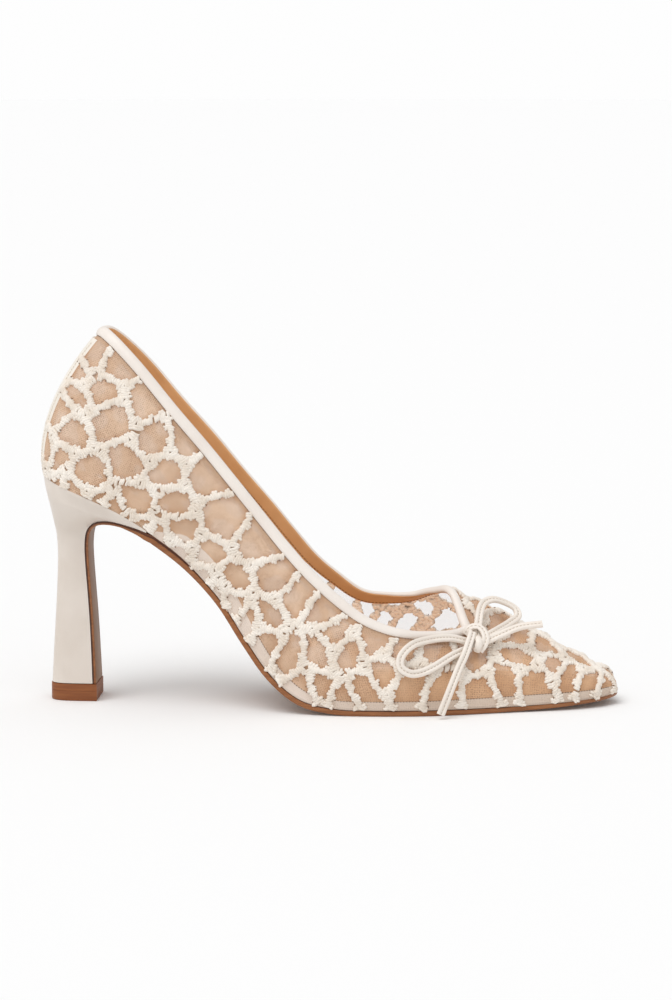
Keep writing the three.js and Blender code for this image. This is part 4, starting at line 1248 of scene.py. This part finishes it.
def heel_ring(front, back, half, roundness):
    ring = [(front + (back - front) * rearward, side) for _, rearward, side in ring_shares(roundness)]
    return [[spot[0], side * half, spot[2]] for spot, side in ring]


def seat_ring(drop):
    rear = edge_point(0.0)[0]
    ring = []
    for angle, rearward, _ in ring_shares(stem_roundness):
        place = place_at(seat_length + (rear - seat_length) * rearward)
        spot = edge_point(place if math.cos(angle) > 0 else across_from(place))
        ring.append([spot[0], spot[1], spot[2] - drop])
    return ring


heel_squares = np.linspace(stem_roundness, foot_roundness, len(heel_rows))
coarse_rings = [heel_ring(*row) for row in zip(heel_fronts, heel_backs, heel_halves, heel_squares)]
coarse_rings = np.array([seat_ring(wing_tip), *coarse_rings])
heel_places = np.arange(0, len(coarse_rings) - 1 + 1e-6, 1 / heel_steps)
heel_rings = [seat_ring(0.0)] + [between(coarse_rings, place, False) for place in heel_places]
# painted shade: the heel's cream is set darker than the other cream leather, standing in for the shade on the
# heel
shaded_heel_leather = cream_finish("shaded_heel_leather", (225, 215, 205), (217, 206, 195), 0.38, 0.1)
heel = shared("covered_heel", *swept(heel_rings), [shaded_heel_leather], "heel_cover", crease=55.0)
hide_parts("heel")

# The top piece: stacked brown leather and rubber under the heel, its edges just broken and a fine
# groove where the two layers meet. It is fixed flat under the heel's foot.
lip = 0.3
piece_front = heel_fronts[-1] + np.array([gap + flap_thickness + lip, 0, -gap])
piece_back = heel_backs[-1] + np.array([-lip, 0, -gap])
piece_half = heel_halves[-1] + lip
# height above the floor, inset
piece_rows = [
    (0.0, 0.35), (0.12, 0.12), (0.4, 0.0), (3.9, 0.0), (4.05, 0.14), (4.2, 0.0), (6.6, 0.0), (6.9, 0.1),
    (7.0, 0.3),
]
piece_rings = []
for height, inset in piece_rows:
    front = piece_front - np.array([inset, 0, piece_front[2] - height])
    back = piece_back + np.array([inset, 0, height - piece_back[2]])
    piece_rings.append(heel_ring(front, back, piece_half - inset, foot_roundness))
piece_brown = edge_stain("top_piece_brown", (146, 86, 42), (130, 72, 34), 0.55)
top_piece = shared("heel_top_piece", *swept(piece_rings), [piece_brown], "brown_top_piece", crease=40.0)
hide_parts("top_piece")

# The bow: one flat strap of cream leather, folded and stitched down its middle, tied in two loops
# and two square-cut tails, with its own turn as the knot. It is stiff, and sits on the binding.
bow_size = 30.0
strap_width, strap_thick = 3.4, 1.9
curve_steps = 16
bow_rows = {
    "near_loop": [
        (-0.08, -0.05, -0.03), (-0.35, -0.14, 0.02), (-0.67, -0.37, 0.03), (-0.84, -0.54, 0),
        (-0.97, -0.64, -0.14), (-0.97, -0.67, -0.27), (-0.85, -0.67, -0.35), (-0.71, -0.62, -0.35),
        (-0.56, -0.49, -0.31), (-0.34, -0.24, -0.22), (-0.08, -0.09, -0.11),
    ],
    "far_loop": [
        (0.02, 0.03, 0.03), (0.06, 0.37, 0.36), (0.12, 0.53, 0.43), (0.23, 0.6, 0.45), (0.4, 0.66, 0.39),
        (0.53, 0.66, 0.31), (0.56, 0.59, 0.23), (0.46, 0.46, 0.16), (0.3, 0.26, 0.09), (0.08, 0.03, 0),
    ],
    "side_tail": [(0.08, -0.02, -0.05), (0.33, 0.09, 0.05), (0.59, 0.15, 0.15), (0.9, 0.19, 0.19)],
    "low_tail": [
        (-0.13, -0.31, -0.16), (-0.19, -0.46, -0.28), (-0.3, -0.64, -0.55), (-0.435, -0.735, -0.895),
    ],
}
knot_length, knot_width, knot_lift = 8.2, 9.0, 3.4
knot_way = np.array([knot_length * 0.38, knot_width * -0.6, knot_width * -0.4])
knot_seat, knot_normals = on_net(section_end(throat_station) + knot_way)
knot_normal = knot_normals[0]
knot_middle = knot_seat[0] + knot_normal * (2 * gap + knot_lift)
knot_along = unit(np.array([1.0, 0, 0]) - knot_normal * knot_normal[0])
knot_across = np.cross(knot_normal, knot_along)


def knot_point(along, across, up):
    return knot_middle + knot_along * along + knot_across * across + knot_normal * up


def smooth_line(points):
    """A smooth line through the points, its speed set by their spacing."""
    points = np.array([2 * points[0] - points[1], *points, 2 * points[-1] - points[-2]])
    curve = []
    for before, start, end, after in zip(points, points[1:], points[2:], points[3:]):
        pairs = ((before, start), (start, end), (end, after))
        first, second, third = (math.sqrt(np.linalg.norm(far - near)) for near, far in pairs)
        middle = (end - start) / second
        into = ((start - before) / first - (end - before) / (first + second) + middle) * second
        out = (middle - (after - start) / (second + third) + (after - end) / third) * second
        bend = 2 * start - 2 * end + into + out
        sag = 3 * end - 3 * start - 2 * into - out
        for share in np.linspace(0, 1, curve_steps, endpoint=False):
            curve.append(bend * share**3 + sag * share**2 + into * share + start)
    curve.append(points[-2])
    return np.array(curve)


strap_section = [
    (-0.5, 0.0), (-0.485, 0.2), (-0.42, 0.38), (-0.3, 0.48), (-0.18, 0.46), (-0.08, 0.34), (-0.03, 0.24),
]
strap_section += [(-wide, deep) for wide, deep in strap_section[::-1]]
strap_section += [(wide, -deep) for wide, deep in strap_section[::-1]]
oval_angles = np.linspace(math.pi, -math.pi, 24, endpoint=False)
oval_section = [(0.5 * math.cos(a), 0.5 * math.sin(a)) for a in oval_angles]
strap_leather = cream_finish("strap_leather", (242, 233, 223), (234, 224, 213))
strap_threads = thread_finish("strap_thread", (208, 194, 178), (196, 180, 164))
strap_clearance, strap_pitch = 1.5, 0.5
groove_depth, groove_gap = 0.27, 3
bow_faces, bow_points, groove = [], [], []


def add_to_bow(rings):
    points, faces = swept(rings)
    first = sum(len(points) for points in bow_points)
    bow_points.append(points)
    bow_faces.extend([[first + i for i in face] for face in faces])


def strap(points, broad_ways=None, width=strap_width, thick=strap_thick, shape=strap_section):
    """Adds one run of strap to the bow, its broad side lying with the upper or as told."""
    if broad_ways is None:
        seats, normals = on_net(points)
        height = np.sum((points - seats) * normals, axis=1)
        points = points + normals * np.maximum(0, thick / 2 + strap_clearance - height)[:, None]
    line = smooth_line(points)
    spots = np.concatenate([line[:1], evenly(line, strap_pitch)[0], line[-1:]])
    run = unit(np.gradient(spots, axis=0))
    if broad_ways is None:
        broad = eased(unit(np.cross(on_net(spots)[1], run)), 10)
    else:
        ways = np.array(broad_ways, float)
        rows = np.linspace(0, 1, len(ways))
        shares = np.linspace(0, 1, len(spots))
        broad = unit(np.stack([np.interp(shares, rows, ways[:, k]) for k in range(3)], 1))
    broad = unit(broad - run * np.sum(broad * run, axis=1)[:, None])
    thin = np.cross(run, broad)
    add_to_bow([
        [spot + b * wide * width + t * deep * thick for wide, deep in shape]
        for spot, b, t in zip(spots, broad, thin)
    ])
    for i in range(groove_gap, len(spots) - 2, groove_gap) if shape is strap_section else ():
        for side in (1, -1):
            groove.append((spots[i] + thin[i] * side * groove_depth * thick, run[i], thin[i] * side))


for strap_name, rows in bow_rows.items():
    spots = knot_middle + np.array(rows) * bow_size
    if strap_name == "low_tail":
        top = [knot_point(-1.9, 1.4, 2.6), knot_point(-2.3, -1.2, 2.8), knot_point(-3.0, -4.3, 2.4)]
        spots = np.concatenate([top, spots])
    strap(spots)
# the strap's own turn round the knot, the lump of the fold under it, and the core between them
ring_rows = [
    (-3.9, 2.4, -0.8), (-3.5, 3.6, 1.0), (-1.6, 4.7, 2.3), (0.9, 4.3, 3.0), (3.0, 1.9, 3.0), (3.8, -0.9, 2.5),
    (3.3, -3.2, 1.3), (2.0, -4.8, -0.8),
]
ring_spots = np.array([knot_point(*row) for row in ring_rows])
ring_middle = knot_point(0.0, 0.2, 0)
ring_ways = [unit(spot - ring_middle) * 0.8 - knot_normal * 0.6 for spot in ring_spots]
strap(ring_spots, ring_ways, 3.3, 1.3)
lump_rows = [(0.2, 0.6, 0.2), (0.8, -1.0, 2.1), (1.1, -3.0, 2.5), (1.1, -4.6, 1.3), (1.0, -5.0, -0.8)]
lump_spots = np.array([knot_point(*row) for row in lump_rows])
strap(lump_spots, [knot_along] * len(lump_rows), 3.0, 2.2, oval_section)
core_long, core_wide, core_high, core_drop = 3.4, 4.0, 1.9, 1.4
core_rings = []
for rise_angle in np.linspace(-1.35, 1.35, 11):
    long, wide = core_long * math.cos(rise_angle), core_wide * math.cos(rise_angle)
    up = core_high * math.sin(rise_angle) - core_drop
    core_angles = np.linspace(0, 2 * math.pi, 24, endpoint=False)
    core_rings.append([knot_point(long * math.cos(a), wide * math.sin(a), up) for a in core_angles])
add_to_bow(core_rings)
bow_points = np.concatenate(bow_points)
bow = shared("strap_bow", bow_points, bow_faces, [strap_leather], "cream_leather", crease=60.0)
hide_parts("bow")
rows = np.array(groove).swapaxes(0, 1)
sewn("bow_stitches", *rows, fine_stitch, small_loop, strap_threads, "cream_leather")
